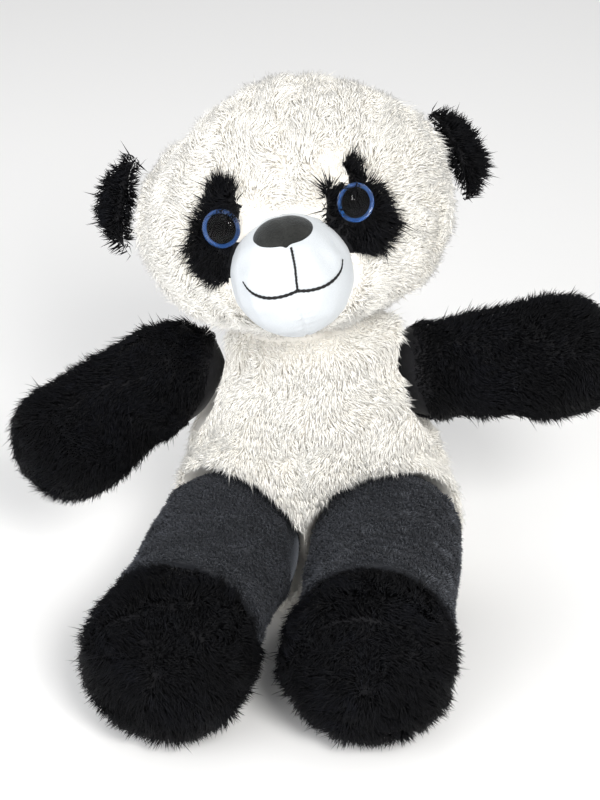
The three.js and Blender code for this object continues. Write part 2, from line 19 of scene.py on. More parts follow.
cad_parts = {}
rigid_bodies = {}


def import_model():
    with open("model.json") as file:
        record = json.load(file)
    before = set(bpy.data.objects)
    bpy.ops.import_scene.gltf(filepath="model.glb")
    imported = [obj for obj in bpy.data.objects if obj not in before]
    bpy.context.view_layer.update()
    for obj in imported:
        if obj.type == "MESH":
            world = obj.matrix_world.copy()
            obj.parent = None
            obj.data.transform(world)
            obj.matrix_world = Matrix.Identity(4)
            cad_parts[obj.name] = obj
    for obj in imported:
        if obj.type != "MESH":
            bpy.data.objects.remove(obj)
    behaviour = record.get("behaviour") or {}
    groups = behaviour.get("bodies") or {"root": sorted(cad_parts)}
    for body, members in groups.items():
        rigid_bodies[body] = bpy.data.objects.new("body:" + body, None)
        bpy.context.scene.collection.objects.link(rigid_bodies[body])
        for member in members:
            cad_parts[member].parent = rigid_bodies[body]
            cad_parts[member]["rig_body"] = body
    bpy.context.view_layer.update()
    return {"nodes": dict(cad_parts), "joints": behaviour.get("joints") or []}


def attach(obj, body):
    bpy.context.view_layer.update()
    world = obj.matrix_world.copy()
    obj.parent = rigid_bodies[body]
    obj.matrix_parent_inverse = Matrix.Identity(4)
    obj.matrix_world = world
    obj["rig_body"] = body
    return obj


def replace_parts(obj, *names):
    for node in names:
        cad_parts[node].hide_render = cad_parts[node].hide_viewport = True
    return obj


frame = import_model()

log = logging.getLogger("panda")

MM = 0.001
FLOOR_CLEAR = 0.0005
FUR_MAP = "OFBake"


# ---------- Finishes ----------


class Coat(Enum):
    """The fabrics and trims that the pieces are made of, by their slot in the record."""

    WHITE = "white_fur"
    BLACK = "black_fur"
    GREY = "grey_plush"
    VELOUR = "velour"
    FELT = "nose_felt"
    THREAD = "black_thread"
    PALE_THREAD = "white_thread"
    LENS = "clear_lens"
    IRIS = "blue_iris"
    PLASTIC = "black_plastic"


@dataclass(frozen=True)
class FurFinish:
    """The colours of a pile from its root to its tip, and how they vary from strand to strand."""

    name: str
    root: tuple[float, float, float]
    middle: tuple[float, float, float]
    tip: tuple[float, float, float]
    shade: tuple[float, float, float]
    bright: tuple[float, float, float]
    roughness: float
    sheen: float
    sheen_tint: tuple[float, float, float]
    specular: float = 0.3
    # Strength of a faint glow in the tip colour: painted light that brightens the pile, though it is no
    # lamp.
    painted_glow: float = 0.0

    def make(self) -> bpy.types.Material:
        """Builds the strands' material from the pile's own map: along the strand, and its tint.

        Returns:
            The material.
        """
        material, nodes, links, shader = new_material(self.name)
        where = nodes.new("ShaderNodeUVMap")
        where.uv_map = FUR_MAP
        split = nodes.new("ShaderNodeSeparateXYZ")
        links.new(where.outputs["UV"], split.inputs["Vector"])
        # Darker at the root than at the tip: painted shade deep in the pile.
        along = ramp(nodes, [(0.0, self.root), (0.45, self.middle), (1.0, self.tip)])
        links.new(split.outputs["X"], along.inputs["Fac"])
        tint = ramp(nodes, [(0.0, self.shade), (0.5, (1.0, 1.0, 1.0)), (1.0, self.bright)])
        links.new(split.outputs["Y"], tint.inputs["Fac"])
        both = multiplied(nodes, links, along.outputs["Color"], tint.outputs["Color"])
        links.new(both, shader.inputs["Base Color"])
        shader.inputs["Roughness"].default_value = self.roughness
        shader.inputs["Specular IOR Level"].default_value = self.specular
        # Painted light: the strands glow faintly in their tip colour, though they are no lamp.
        shader.inputs["Emission Color"].default_value = (*self.tip, 1.0)
        shader.inputs["Emission Strength"].default_value = self.painted_glow
        shader.inputs["Sheen Weight"].default_value = self.sheen
        shader.inputs["Sheen Roughness"].default_value = 0.5
        shader.inputs["Sheen Tint"].default_value = (*self.sheen_tint, 1.0)
        return material


@dataclass(frozen=True)
class ClothFinish:
    """A knitted or pressed cloth: two colours in a fine grain over slow patches, its nap as bump."""

    name: str
    low: tuple[float, float, float]
    high: tuple[float, float, float]
    grain: float
    patch: float
    bump: float
    roughness: float
    sheen: float
    sheen_tint: tuple[float, float, float] = (1.0, 1.0, 1.0)

    def make(self) -> bpy.types.Material:
        """Builds the cloth's material from Object coordinates.

        Returns:
            The material.
        """
        material, nodes, links, shader = new_material(self.name)
        place = nodes.new("ShaderNodeTexCoord")
        fine = noise(nodes, self.grain, 4.0, 0.6)
        slow = noise(nodes, self.patch, 3.0, 0.5)
        links.new(place.outputs["Object"], fine.inputs["Vector"])
        links.new(place.outputs["Object"], slow.inputs["Vector"])
        both = nodes.new("ShaderNodeMath")
        both.operation = "MULTIPLY_ADD"
        both.inputs[1].default_value = 0.55
        links.new(fine.outputs["Fac"], both.inputs[0])
        half = nodes.new("ShaderNodeMath")
        half.operation = "MULTIPLY"
        half.inputs[1].default_value = 0.45
        links.new(slow.outputs["Fac"], half.inputs[0])
        links.new(half.outputs["Value"], both.inputs[2])
        tone = ramp(nodes, [(0.3, self.low), (0.7, self.high)])
        links.new(both.outputs["Value"], tone.inputs["Fac"])
        links.new(tone.outputs["Color"], shader.inputs["Base Color"])
        rise = nodes.new("ShaderNodeBump")
        rise.inputs["Strength"].default_value = self.bump
        rise.inputs["Distance"].default_value = 0.4 * MM
        links.new(fine.outputs["Fac"], rise.inputs["Height"])
        links.new(rise.outputs["Normal"], shader.inputs["Normal"])
        shader.inputs["Roughness"].default_value = self.roughness
        shader.inputs["Specular IOR Level"].default_value = 0.25
        shader.inputs["Sheen Weight"].default_value = self.sheen
        shader.inputs["Sheen Roughness"].default_value = 0.4
        shader.inputs["Sheen Tint"].default_value = (*self.sheen_tint, 1.0)
        return material


@dataclass(frozen=True)
class PlasticFinish:
    """A moulded plastic with slow tone changes and a fine polish grain."""

    name: str
    low: tuple[float, float, float]
    high: tuple[float, float, float]
    roughness: float
    specular: float = 0.02

    def make(self) -> bpy.types.Material:
        """Builds the plastic's material from Object coordinates.

        Returns:
            The material.
        """
        material, nodes, links, shader = new_material(self.name)
        place = nodes.new("ShaderNodeTexCoord")
        slow = noise(nodes, 180.0, 3.0, 0.5)
        links.new(place.outputs["Object"], slow.inputs["Vector"])
        tone = ramp(nodes, [(0.35, self.low), (0.65, self.high)])
        links.new(slow.outputs["Fac"], tone.inputs["Fac"])
        links.new(tone.outputs["Color"], shader.inputs["Base Color"])
        polish = nodes.new("ShaderNodeMapRange")
        polish.inputs["To Min"].default_value = self.roughness * 0.7
        polish.inputs["To Max"].default_value = self.roughness * 1.3
        links.new(slow.outputs["Fac"], polish.inputs["Value"])
        links.new(polish.outputs["Result"], shader.inputs["Roughness"])
        shader.inputs["Specular IOR Level"].default_value = self.specular
        return material


@dataclass(frozen=True)
class LensFinish:
    """The clear dome of a safety eye."""

    name: str = "clear_dome"

    def make(self) -> bpy.types.Material:
        """Builds the clear plastic, with a faint polish grain in its roughness.

        Returns:
            The material.
        """
        material, nodes, links, shader = new_material(self.name)
        place = nodes.new("ShaderNodeTexCoord")
        slow = noise(nodes, 300.0, 2.0, 0.5)
        links.new(place.outputs["Object"], slow.inputs["Vector"])
        polish = nodes.new("ShaderNodeMapRange")
        polish.inputs["To Min"].default_value = 0.0
        polish.inputs["To Max"].default_value = 0.01
        links.new(slow.outputs["Fac"], polish.inputs["Value"])
        links.new(polish.outputs["Result"], shader.inputs["Roughness"])
        shader.inputs["Base Color"].default_value = (1.0, 1.0, 1.0, 1.0)
        shader.inputs["Transmission Weight"].default_value = 1.0
        shader.inputs["IOR"].default_value = 1.18
        return material


@dataclass(frozen=True)
class IrisFinish:
    """The painted ring of a safety eye: spokes of two blues, darker at its rim."""

    name: str
    inner: tuple[float, float, float]
    outer: tuple[float, float, float]

    def make(self) -> bpy.types.Material:
        """Builds the paint from the ring's own map: across the ring, and round it.

        Returns:
            The material.
        """
        material, nodes, links, shader = new_material(self.name)
        where = nodes.new("ShaderNodeUVMap")
        where.uv_map = FUR_MAP
        split = nodes.new("ShaderNodeSeparateXYZ")
        links.new(where.outputs["UV"], split.inputs["Vector"])
        across = ramp(nodes, [(0.0, self.inner), (0.75, self.inner), (1.0, self.outer)])
        links.new(split.outputs["X"], across.inputs["Fac"])
        place = nodes.new("ShaderNodeTexCoord")
        spokes = noise(nodes, 900.0, 3.0, 0.6)
        links.new(place.outputs["Object"], spokes.inputs["Vector"])
        fleck = ramp(nodes, [(0.3, (0.6, 0.65, 0.75)), (0.7, (1.0, 1.0, 1.0))])
        links.new(spokes.outputs["Fac"], fleck.inputs["Fac"])
        both = multiplied(nodes, links, across.outputs["Color"], fleck.outputs["Color"])
        links.new(both, shader.inputs["Base Color"])
        shader.inputs["Roughness"].default_value = 0.35
        return material


def new_material(name: str) -> tuple:
    """Makes an empty node material.

    Args:
        name: The material's name.

    Returns:
        The material, its nodes, its links and its main shader.
    """
    material = bpy.data.materials.new(name)
    material.use_nodes = True
    tree = material.node_tree
    return material, tree.nodes, tree.links, tree.nodes["Principled BSDF"]


def ramp(nodes: bpy.types.Nodes, stops: list[tuple[float, tuple]]) -> bpy.types.Node:
    """Adds a colour ramp.

    Args:
        nodes: The material's nodes.
        stops: Positions from 0 to 1 with their colours.

    Returns:
        The ramp's node.
    """
    made = nodes.new("ShaderNodeValToRGB")
    elements = made.color_ramp.elements
    while len(elements) < len(stops):
        elements.new(0.5)
    for element, (position, colour) in zip(elements, stops):
        element.position = position
        element.color = (*colour, 1.0)
    return made


def noise(nodes: bpy.types.Nodes, scale: float, detail: float, rough: float) -> bpy.types.Node:
    """Adds a noise texture.

    Args:
        nodes: The material's nodes.
        scale: Features per metre.
        detail: Octaves.
        rough: How strong the finer octaves are.

    Returns:
        The noise's node.
    """
    made = nodes.new("ShaderNodeTexNoise")
    made.inputs["Scale"].default_value = scale
    made.inputs["Detail"].default_value = detail
    made.inputs["Roughness"].default_value = rough
    return made


def multiplied(
    nodes: bpy.types.Nodes,
    links: bpy.types.NodeLinks,
    first: bpy.types.NodeSocket,
    second: bpy.types.NodeSocket,
) -> bpy.types.NodeSocket:
    """Multiplies two colours.

    Args:
        nodes: The material's nodes.
        links: The material's links.
        first: A colour's socket.
        second: Another colour's socket.

    Returns:
        The product's socket.
    """
    made = nodes.new("ShaderNodeMix")
    made.data_type = "RGBA"
    made.blend_type = "MULTIPLY"
    made.inputs["Factor"].default_value = 1.0
    colours = [port for port in made.inputs if port.type == "RGBA"]
    links.new(first, colours[0])
    links.new(second, colours[1])
    return next(port for port in made.outputs if port.type == "RGBA")


FINISHES = {
    Coat.WHITE: FurFinish(
        "white_pile",
        # The cream root, darker than the tip, is painted shade deep in the pile.
        root=(0.87, 0.835, 0.76),
        middle=(0.91, 0.89, 0.84),
        tip=(0.94, 0.93, 0.895),
        shade=(0.955, 0.945, 0.92),
        bright=(1.0, 1.0, 1.0),
        roughness=0.95,
        sheen=0.35,
        sheen_tint=(1.0, 0.995, 0.98),
        # Painted light: the white pile glows faintly so that it looks brighter.
        painted_glow=0.055,
    ),
    Coat.BLACK: FurFinish(
        "black_pile",
        # The root, darker than the tip, is painted shade deep in the pile.
        root=(0.0015, 0.0015, 0.002),
        middle=(0.0025, 0.0026, 0.0034),
        tip=(0.0042, 0.0046, 0.0062),
        shade=(0.6, 0.6, 0.62),
        bright=(1.7, 1.75, 1.9),
        roughness=0.55,
        sheen=0.0,
        sheen_tint=(0.75, 0.82, 1.0),
        specular=0.14,
    ),
    Coat.GREY: FurFinish(
        "grey_pile",
        # The root, darker than the tip, is painted shade deep in the pile.
        root=(0.006, 0.0065, 0.008),
        middle=(0.014, 0.015, 0.018),
        tip=(0.036, 0.038, 0.045),
        shade=(0.45, 0.46, 0.5),
        bright=(2.0, 2.0, 2.05),
        roughness=0.55,
        sheen=0.2,
        sheen_tint=(0.8, 0.87, 1.0),
    ),
    Coat.VELOUR: ClothFinish(
        "muzzle_velour",
        low=(0.52, 0.55, 0.58),
        high=(0.60, 0.63, 0.655),
        grain=1500.0,
        patch=60.0,
        bump=0.35,
        roughness=0.85,
        sheen=0.3,
    ),
    Coat.FELT: ClothFinish(
        "nose_felt",
        low=(0.009, 0.0095, 0.009),
        high=(0.032, 0.033, 0.031),
        grain=1100.0,
        patch=140.0,
        bump=0.8,
        roughness=0.9,
        sheen=0.25,
        sheen_tint=(0.8, 0.85, 0.9),
    ),
    Coat.THREAD: ClothFinish(
        "black_thread",
        low=(0.003, 0.003, 0.003),
        high=(0.014, 0.014, 0.015),
        grain=2200.0,
        patch=300.0,
        bump=0.6,
        roughness=0.55,
        sheen=0.1,
    ),
    Coat.PALE_THREAD: ClothFinish(
        "pale_thread",
        low=(0.55, 0.52, 0.45),
        high=(0.80, 0.78, 0.72),
        grain=2200.0,
        patch=300.0,
        bump=0.6,
        roughness=0.7,
        sheen=0.1,
    ),
    Coat.LENS: LensFinish(),
    Coat.IRIS: IrisFinish("iris_paint", inner=(0.005, 0.072, 0.27), outer=(0.001, 0.012, 0.06)),
    Coat.PLASTIC: PlasticFinish("black_moulding", (0.001, 0.001, 0.0012), (0.002, 0.002, 0.0024), 0.5),
}
BACKINGS = {
    Coat.WHITE: ClothFinish(
        # Its cream, darker than the pile's tips, is partly the knit's own colour and partly painted shade,
        # so the gaps between strands read as shaded fur.
        "white_backing",
        low=(0.88, 0.84, 0.77),
        high=(0.94, 0.92, 0.87),
        grain=900.0,
        patch=70.0,
        bump=0.5,
        roughness=0.95,
        sheen=0.2,
    ),
    Coat.BLACK: ClothFinish(
        "black_backing",
        low=(0.003, 0.003, 0.004),
        high=(0.009, 0.009, 0.011),
        grain=900.0,
        patch=70.0,
        bump=0.5,
        roughness=0.8,
        sheen=0.1,
    ),
    Coat.GREY: ClothFinish(
        "grey_backing",
        low=(0.008, 0.009, 0.011),
        high=(0.028, 0.030, 0.036),
        grain=1100.0,
        patch=90.0,
        bump=0.6,
        roughness=0.7,
        sheen=0.25,
        sheen_tint=(0.8, 0.87, 1.0),
    ),
}
MADE: dict[str, bpy.types.Material] = {}


def finish_of(coat: Coat, backing: bool = False) -> bpy.types.Material:
    """The material of a coat, or of the backing that its pile grows on, made once.

    Args:
        coat: The coat.
        backing: Whether to give its backing.

    Returns:
        The material.
    """
    finish = BACKINGS.get(coat, FINISHES[coat]) if backing else FINISHES[coat]
    if finish.name not in MADE:
        MADE[finish.name] = finish.make()
    return MADE[finish.name]


# ---------- Mesh helpers ----------


def new_piece(
    name: str, mesh: bpy.types.Mesh, coat: Coat, body: str, backing: bool = False
) -> bpy.types.Object:
    """Puts a mesh in the scene as a piece that rides on a body.

    Args:
        name: The piece's name.
        mesh: Its finished mesh, in the row frame.
        coat: What it is made of.
        body: The body that it moves with.
        backing: Whether it shows the backing of its coat, and not the pile.

    Returns:
        The piece.
    """
    mesh.name = name
    mesh.materials.clear()
    mesh.materials.append(finish_of(coat, backing))
    made = bpy.data.objects.new(name, mesh)
    bpy.context.scene.collection.objects.link(made)
    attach(made, body)
    return made


def node_bmesh(names: list[str]) -> bmesh.types.BMesh:
    """The CAD nodes' closed shells in one bmesh, with their loose triangles merged.

    Args:
        names: The nodes.

    Returns:
        The shells.
    """
    made = bmesh.new()
    for name in names:
        made.from_mesh(frame["nodes"][name].data)
    bmesh.ops.remove_doubles(made, verts=made.verts, dist=1e-6)
    return made


def mesh_of(made: bmesh.types.BMesh, name: str, smooth: bool = True) -> bpy.types.Mesh:
    """Turns a bmesh into a mesh and frees it.

    Args:
        made: The bmesh.
        name: The mesh's name.
        smooth: Whether its faces are shaded smooth.

    Returns:
        The mesh.
    """
    mesh = bpy.data.meshes.new(name)
    made.to_mesh(mesh)
    made.free()
    mesh.polygons.foreach_set("use_smooth", [smooth] * len(mesh.polygons))
    return mesh


def baked(source: bpy.types.Object, name: str) -> bpy.types.Mesh:
    """The mesh of an object with its modifiers applied; the object is removed.

    Args:
        source: The object.
        name: The mesh's name.

    Returns:
        The mesh.
    """
    bpy.context.view_layer.update()
    graph = bpy.context.evaluated_depsgraph_get()
    mesh = bpy.data.meshes.new_from_object(source.evaluated_get(graph))
    mesh.name = name
    bpy.data.objects.remove(source)
    return mesh


def eased_out(made: bmesh.types.BMesh, corners: bmesh.types.BMVertSeq | list, times: int) -> None:
    """Smooths some of a bmesh's corners, a few times over.

    Args:
        made: The bmesh.
        corners: Which of its corners.
        times: How often.
    """
    for _ in range(times):
        bmesh.ops.smooth_vert(
            made, verts=corners, factor=0.5, use_axis_x=True, use_axis_y=True, use_axis_z=True
        )


def points_of(mesh: bpy.types.Mesh) -> np.ndarray:
    """A mesh's vertices as rows of x, y, z.

    Args:
        mesh: The mesh.

    Returns:
        The rows.
    """
    flat = np.empty(len(mesh.vertices) * 3)
    mesh.vertices.foreach_get("co", flat)
    return flat.reshape(-1, 3)


def normals_of(mesh: bpy.types.Mesh) -> np.ndarray:
    """A mesh's vertex normals as rows of x, y, z.

    Args:
        mesh: The mesh.

    Returns:
        The rows.
    """
    flat = np.empty(len(mesh.vertices) * 3, np.float32)
    mesh.vertex_normals.foreach_get("vector", flat)
    return flat.reshape(-1, 3).astype(float)


def place_points(mesh: bpy.types.Mesh, points: np.ndarray) -> None:
    """Moves a mesh's vertices to rows of x, y, z."""
    mesh.vertices.foreach_set("co", points.astype(np.float32).ravel())
    mesh.update()


def unit(rows: np.ndarray) -> np.ndarray:
    """Rows scaled to length 1."""
    return rows / np.maximum(np.linalg.norm(rows, axis=1, keepdims=True), 1e-12)


def eased(values: np.ndarray, low: float, high: float) -> np.ndarray:
    """0 below low and 1 above high, with a smooth rise between."""
    share = np.clip((values - low) / (high - low), 0.0, 1.0)
    return share * share * (3.0 - 2.0 * share)


def waves(points: np.ndarray, size: float, seed: int, count: int = 7) -> np.ndarray:
    """A smooth random vector field.

    Args:
        points: Where to read it, in rows.
        size: How far apart its swirls are, in metres.
        seed: Which field it is.
        count: How many waves make it up.

    Returns:
        A vector for each point, mostly shorter than 1.
    """
    rng = np.random.default_rng(seed)
    total = np.zeros_like(points)
    for _ in range(count):
        way = rng.normal(size=3)
        way *= 2.0 * math.pi / (size * rng.uniform(0.7, 1.6) * np.linalg.norm(way))
        total += np.sin(points @ way + rng.uniform(0, 2 * math.pi))[:, None] * rng.normal(size=3)
    return total / math.sqrt(count)


class Surroundings:
    """Distance to a group of CAD nodes, and which of them is nearest."""

    SQUARE_ON = 0.6

    def __init__(self, names: list[str]) -> None:
        """Gathers the nodes' triangles into one search tree.

        Args:
            names: The nodes.
        """
        corners: list[Vector] = []
        faces: list[tuple[int, int, int]] = []
        self.owners: list[str] = []
        for name in names:
            mesh = frame["nodes"][name].data
            mesh.calc_loop_triangles()
            first = len(corners)
            corners.extend(v.co.copy() for v in mesh.vertices)
            for triangle in mesh.loop_triangles:
                faces.append(tuple(first + i for i in triangle.vertices))
                self.owners.append(name)
        self.tree = BVHTree.FromPolygons(corners, faces)

    def distances(self, points: np.ndarray) -> np.ndarray:
        """How far each point is outside the nodes, less than 0 inside one.

        Args:
            points: The points, in rows.

        Returns:
            A distance for each.
        """
        found = np.empty(len(points))
        for i, point in enumerate(points):
            spot, normal, _, far = self.tree.find_nearest(point)
            inside = (Vector(point) - spot).dot(normal) < -self.SQUARE_ON * far
            found[i] = -far if inside else far
        return found

    def nearest(self, points: np.ndarray) -> np.ndarray:
        """The name of the node nearest to each point."""
        return np.array([self.owners[self.tree.find_nearest(point)[2]] for point in points])


# ---------- Fur ----------


@dataclass(frozen=True)
class Pile:
    """A fur fabric's pile: lengths in metres, and how its strands stand, lie and gather."""

    length: float
    radius: float
    per_square: float
    lean: float
    clump: float
    clump_size: float
    swirl: float
    swirl_size: float
    spread: float = 0.16
    uneven: float = 0.25
    long_share: float = 0.0
    long_gain: float = 1.5


LONG_WHITE = Pile(
    length=7.6 * MM,
    radius=0.33 * MM,
    per_square=1.4e6,
    lean=0.76,
    clump=0.36,
    clump_size=4.2 * MM,
    swirl=0.65,
    swirl_size=24 * MM,
    long_share=0.03,
    long_gain=1.3,
)
LONG_BLACK = Pile(
    length=8.0 * MM,
    radius=0.36 * MM,
    per_square=1.15e6,
    lean=0.68,
    clump=0.5,
    clump_size=4.0 * MM,
    swirl=0.6,
    swirl_size=28 * MM,
    long_share=0.03,
    long_gain=1.3,
)
PATCH_BLACK = Pile(
    length=8.0 * MM,
    radius=0.34 * MM,
    per_square=2.4e6,
    lean=0.66,
    clump=0.6,
    clump_size=4.0 * MM,
    swirl=0.5,
    swirl_size=14 * MM,
    long_share=0.12,
    long_gain=1.5,
)
EAR_BLACK = Pile(
    length=8.0 * MM,
    radius=0.38 * MM,
    per_square=1.7e6,
    lean=0.5,
    clump=0.5,
    clump_size=3.6 * MM,
    swirl=0.6,
    swirl_size=18 * MM,
    long_share=0.04,
    long_gain=1.3,
)
FOOT_BLACK = Pile(
    length=8.2 * MM,
    radius=0.36 * MM,
    per_square=1.3e6,
    lean=0.58,
    clump=0.5,
    clump_size=4.0 * MM,
    swirl=0.65,
    swirl_size=24 * MM,
    long_share=0.02,
    long_gain=1.3,
)
SHORT_GREY = Pile(
    length=3.2 * MM,
    radius=0.38 * MM,
    per_square=1.3e6,
    lean=0.55,
    clump=0.35,
    clump_size=2.4 * MM,
    swirl=0.9,
    swirl_size=12 * MM,
)
NO_PILE = Pile(0.0, 0.0, 0.0, 0.5, 0.0, 4.0 * MM, 0.0, 10 * MM)


@dataclass
class Strand:
    """One strand's shape: a three-sided spindle, from which every strand is copied."""

    sides: int = 3
    widest: float = 0.38

    def __post_init__(self) -> None:
        """Turns a capped cone into the spindle."""
        made = bmesh.new()
        bmesh.ops.create_cone(
            made, cap_ends=True, cap_tris=True, segments=self.sides, radius1=1.0, radius2=0.0, depth=1.0
        )
        for corner in made.verts:
            if corner.co.z < 0:
                corner.co.z = self.widest if corner.co.to_2d().length > 0.5 else 0.0
            else:
                corner.co.z = 1.0
        bmesh.ops.remove_doubles(made, verts=made.verts, dist=1e-5)
        bmesh.ops.recalc_face_normals(made, faces=made.faces)
        bmesh.ops.triangulate(made, faces=made.faces)
        made.verts.ensure_lookup_table()
        self.corners = np.array([v.co[:] for v in made.verts])
        self.faces = np.array([[v.index for v in f.verts] for f in made.faces])
        made.free()


class Furrier:
    """Grows fur on skins, one piece for each sewn panel."""

    RISING = 0.55  # a strand's lean below its bend, as a share of its pile's
    LYING = 1.15  # and above it
    BEND_AT = 0.45  # of its length

    def __init__(self) -> None:
        """Prepares the strand that all fur is copied from."""
        self.strand = Strand()

    def scatter(self, skin: bpy.types.Mesh, per_square: float, rng: np.random.Generator) -> tuple:
        """Spreads roots evenly over a skin.

        Args:
            skin: The skin's mesh.
            per_square: Strands in a square metre.
            rng: The random source.

        Returns:
            The roots, and the skin's normals there.
        """
        skin.calc_loop_triangles()
        flat = np.empty(len(skin.loop_triangles) * 3, np.int32)
        skin.loop_triangles.foreach_get("vertices", flat)
        corner = flat.reshape(-1, 3)
        points, normals = points_of(skin), normals_of(skin)
        a, b, c = (points[corner[:, i]] for i in range(3))
        area = 0.5 * np.linalg.norm(np.cross(b - a, c - a), axis=1)
        count = int(area.sum() * per_square * (1.0))
        marks = (np.arange(count) + rng.random(count)) / count * area.sum()
        pick = np.minimum(np.searchsorted(np.cumsum(area), marks), len(area) - 1)
        u, v = rng.random(count), rng.random(count)
        over = u + v > 1
        u[over], v[over] = 1 - u[over], 1 - v[over]
        share = np.stack([1 - u - v, u, v], axis=1)
        chosen = corner[pick]
        roots = np.einsum("nk,nkd->nd", share, points[chosen])
        outward = unit(np.einsum("nk,nkd->nd", share, normals[chosen]))
        return roots, outward

    def comb(
        self,
        roots: np.ndarray,
        outward: np.ndarray,
        nap: np.ndarray,
        pile: Pile,
        size: np.ndarray,
        seed: int,
    ) -> tuple:
        """Lays the strands along the nap, gathered into clumps.

        Args:
            roots: Where the strands grow.
            outward: The skin's normals there.
            nap: The way that the fur is brushed, in rows.
            pile: The fabric's pile.
            size: A share of the pile's length for each strand.
            seed: For this panel's random draws.

        Returns:
            The strands' middles, tips and tints.
        """
        rng = np.random.default_rng(seed)
        count = len(roots)
        brushed = unit(nap) + pile.swirl * waves(roots, pile.swirl_size, seed)
        brushed += 0.35 * pile.swirl * waves(roots, 0.35 * pile.swirl_size, seed + 1)
        brushed -= np.sum(brushed * outward, axis=1, keepdims=True) * outward
        along = unit(brushed)
        lean = pile.lean + 0.16 * waves(roots, 0.6 * pile.swirl_size, seed + 2)[:, 0]
        lean = np.clip(lean, 0.1, 0.92)[:, None]
        length = pile.length * size * (1 + pile.uneven * rng.uniform(-1, 1, count))
        length *= 1 + 0.12 * waves(roots, pile.swirl_size, seed + 3)[:, 1]
        long_ones = rng.random(count) < pile.long_share
        length[long_ones] *= pile.long_gain
        scatter = pile.spread * rng.normal(size=(count, 3))
        low, high = self.RISING * lean, self.LYING * lean
        rising = unit(outward * (1 - low) + along * low + scatter)
        lying = unit(outward * (1 - high) + along * high + 1.6 * scatter)
        reach = length[:, None]
        middle = roots + rising * self.BEND_AT * reach
        tip = middle + lying * (1 - self.BEND_AT) * reach
        # Strands near one another gather towards the tip of one that leads them.
        in_clump = max(1.0, pile.per_square * pile.clump_size**2)
        leaders = rng.choice(count, max(1, int(count * (1 / in_clump))), False)
        tree = KDTree(len(leaders))
        for i, leader in enumerate(leaders):
            tree.insert(roots[leader] + 0.3 * (tip[leader] - roots[leader]), int(leader))
        tree.balance()
        led = np.array([tree.find(point)[1] for point in roots])
        pull = (pile.clump * rng.uniform(0.5, 1.2, count) * (~long_ones))[:, None]
        gap = np.linalg.norm(roots - roots[led], axis=1, keepdims=True)
        pull *= np.clip(1.6 - gap / pile.clump_size, 0.0, 1.0)
        middle += 0.35 * pull * (middle[led] - middle)
        tip += pull * (tip[led] - tip)
        patch = 0.5 + 0.16 * waves(roots, 1.7 * pile.swirl_size, seed + 4)[:, 0]
        clumped = rng.normal(0.0, 0.13, count)[led]
        tint = np.clip(patch + clumped + rng.normal(0.0, 0.09, count), 0.03, 0.97)
        return middle, tip, tint

    def weave(
        self, name: str, roots: np.ndarray, outward: np.ndarray, middle: np.ndarray, tip: np.ndarray,
        tint: np.ndarray, radius: np.ndarray,
    ) -> bpy.types.Mesh:
        """Copies the strand along every path.

        Args:
            name: The mesh's name.
            roots: Where the strands grow.
            outward: The skin's normals there.
            middle: The strands' middles.
            tip: The strands' tips.
            tint: Each strand's place in the tints.
            radius: Each strand's half width.

        Returns:
            The fur's mesh.
        """
        count = len(roots)
        station = self.strand.corners[:, 2]
        root = roots - outward * 0.4 * MM
        way = unit(tip - root)
        aside = unit(np.cross(way, outward) + 1e-9)
        above = np.cross(aside, way)
        t = station[None, :, None]
        bow = 2 * middle - 0.5 * (root + tip)
        path = (1 - t) ** 2 * root[:, None] + 2 * t * (1 - t) * bow[:, None] + t**2 * tip[:, None]
        ring = self.strand.corners[None, :, 0, None] * aside[:, None]
        ring = ring + 0.7 * self.strand.corners[None, :, 1, None] * above[:, None]
        points = path + ring * radius[:, None, None]
        points[:, :, 2] = np.maximum(points[:, :, 2], FLOOR_CLEAR)
        corners = len(station)
        faces = (self.strand.faces[None] + corners * np.arange(count)[:, None, None]).reshape(-1, 3)
        mesh = bpy.data.meshes.new(name)
        mesh.vertices.add(count * corners)
        mesh.vertices.foreach_set("co", points.astype(np.float32).ravel())
        mesh.loops.add(faces.size)
        mesh.loops.foreach_set("vertex_index", faces.astype(np.int32).ravel())
        mesh.polygons.add(len(faces))
        mesh.polygons.foreach_set("loop_start", np.arange(0, faces.size, 3, dtype=np.int32))
        mesh.update(calc_edges=True)
        mesh.polygons.foreach_set("use_smooth", np.ones(len(faces), bool))
        spread = np.zeros(corners)
        spread[(station > 0) & (station < 1)] = np.linspace(-0.006, 0.006, self.strand.sides)
        u = np.clip(np.broadcast_to(station, (count, corners)), 0.02, 0.98)
        v = tint[:, None] + spread[None]
        layer = mesh.uv_layers.new(name=FUR_MAP)
        pairs = np.stack([u.ravel(), v.ravel()], axis=1)[faces.ravel()]
        layer.data.foreach_set("uv", pairs.astype(np.float32).ravel())
        return mesh


# ---------- Soft parts ----------


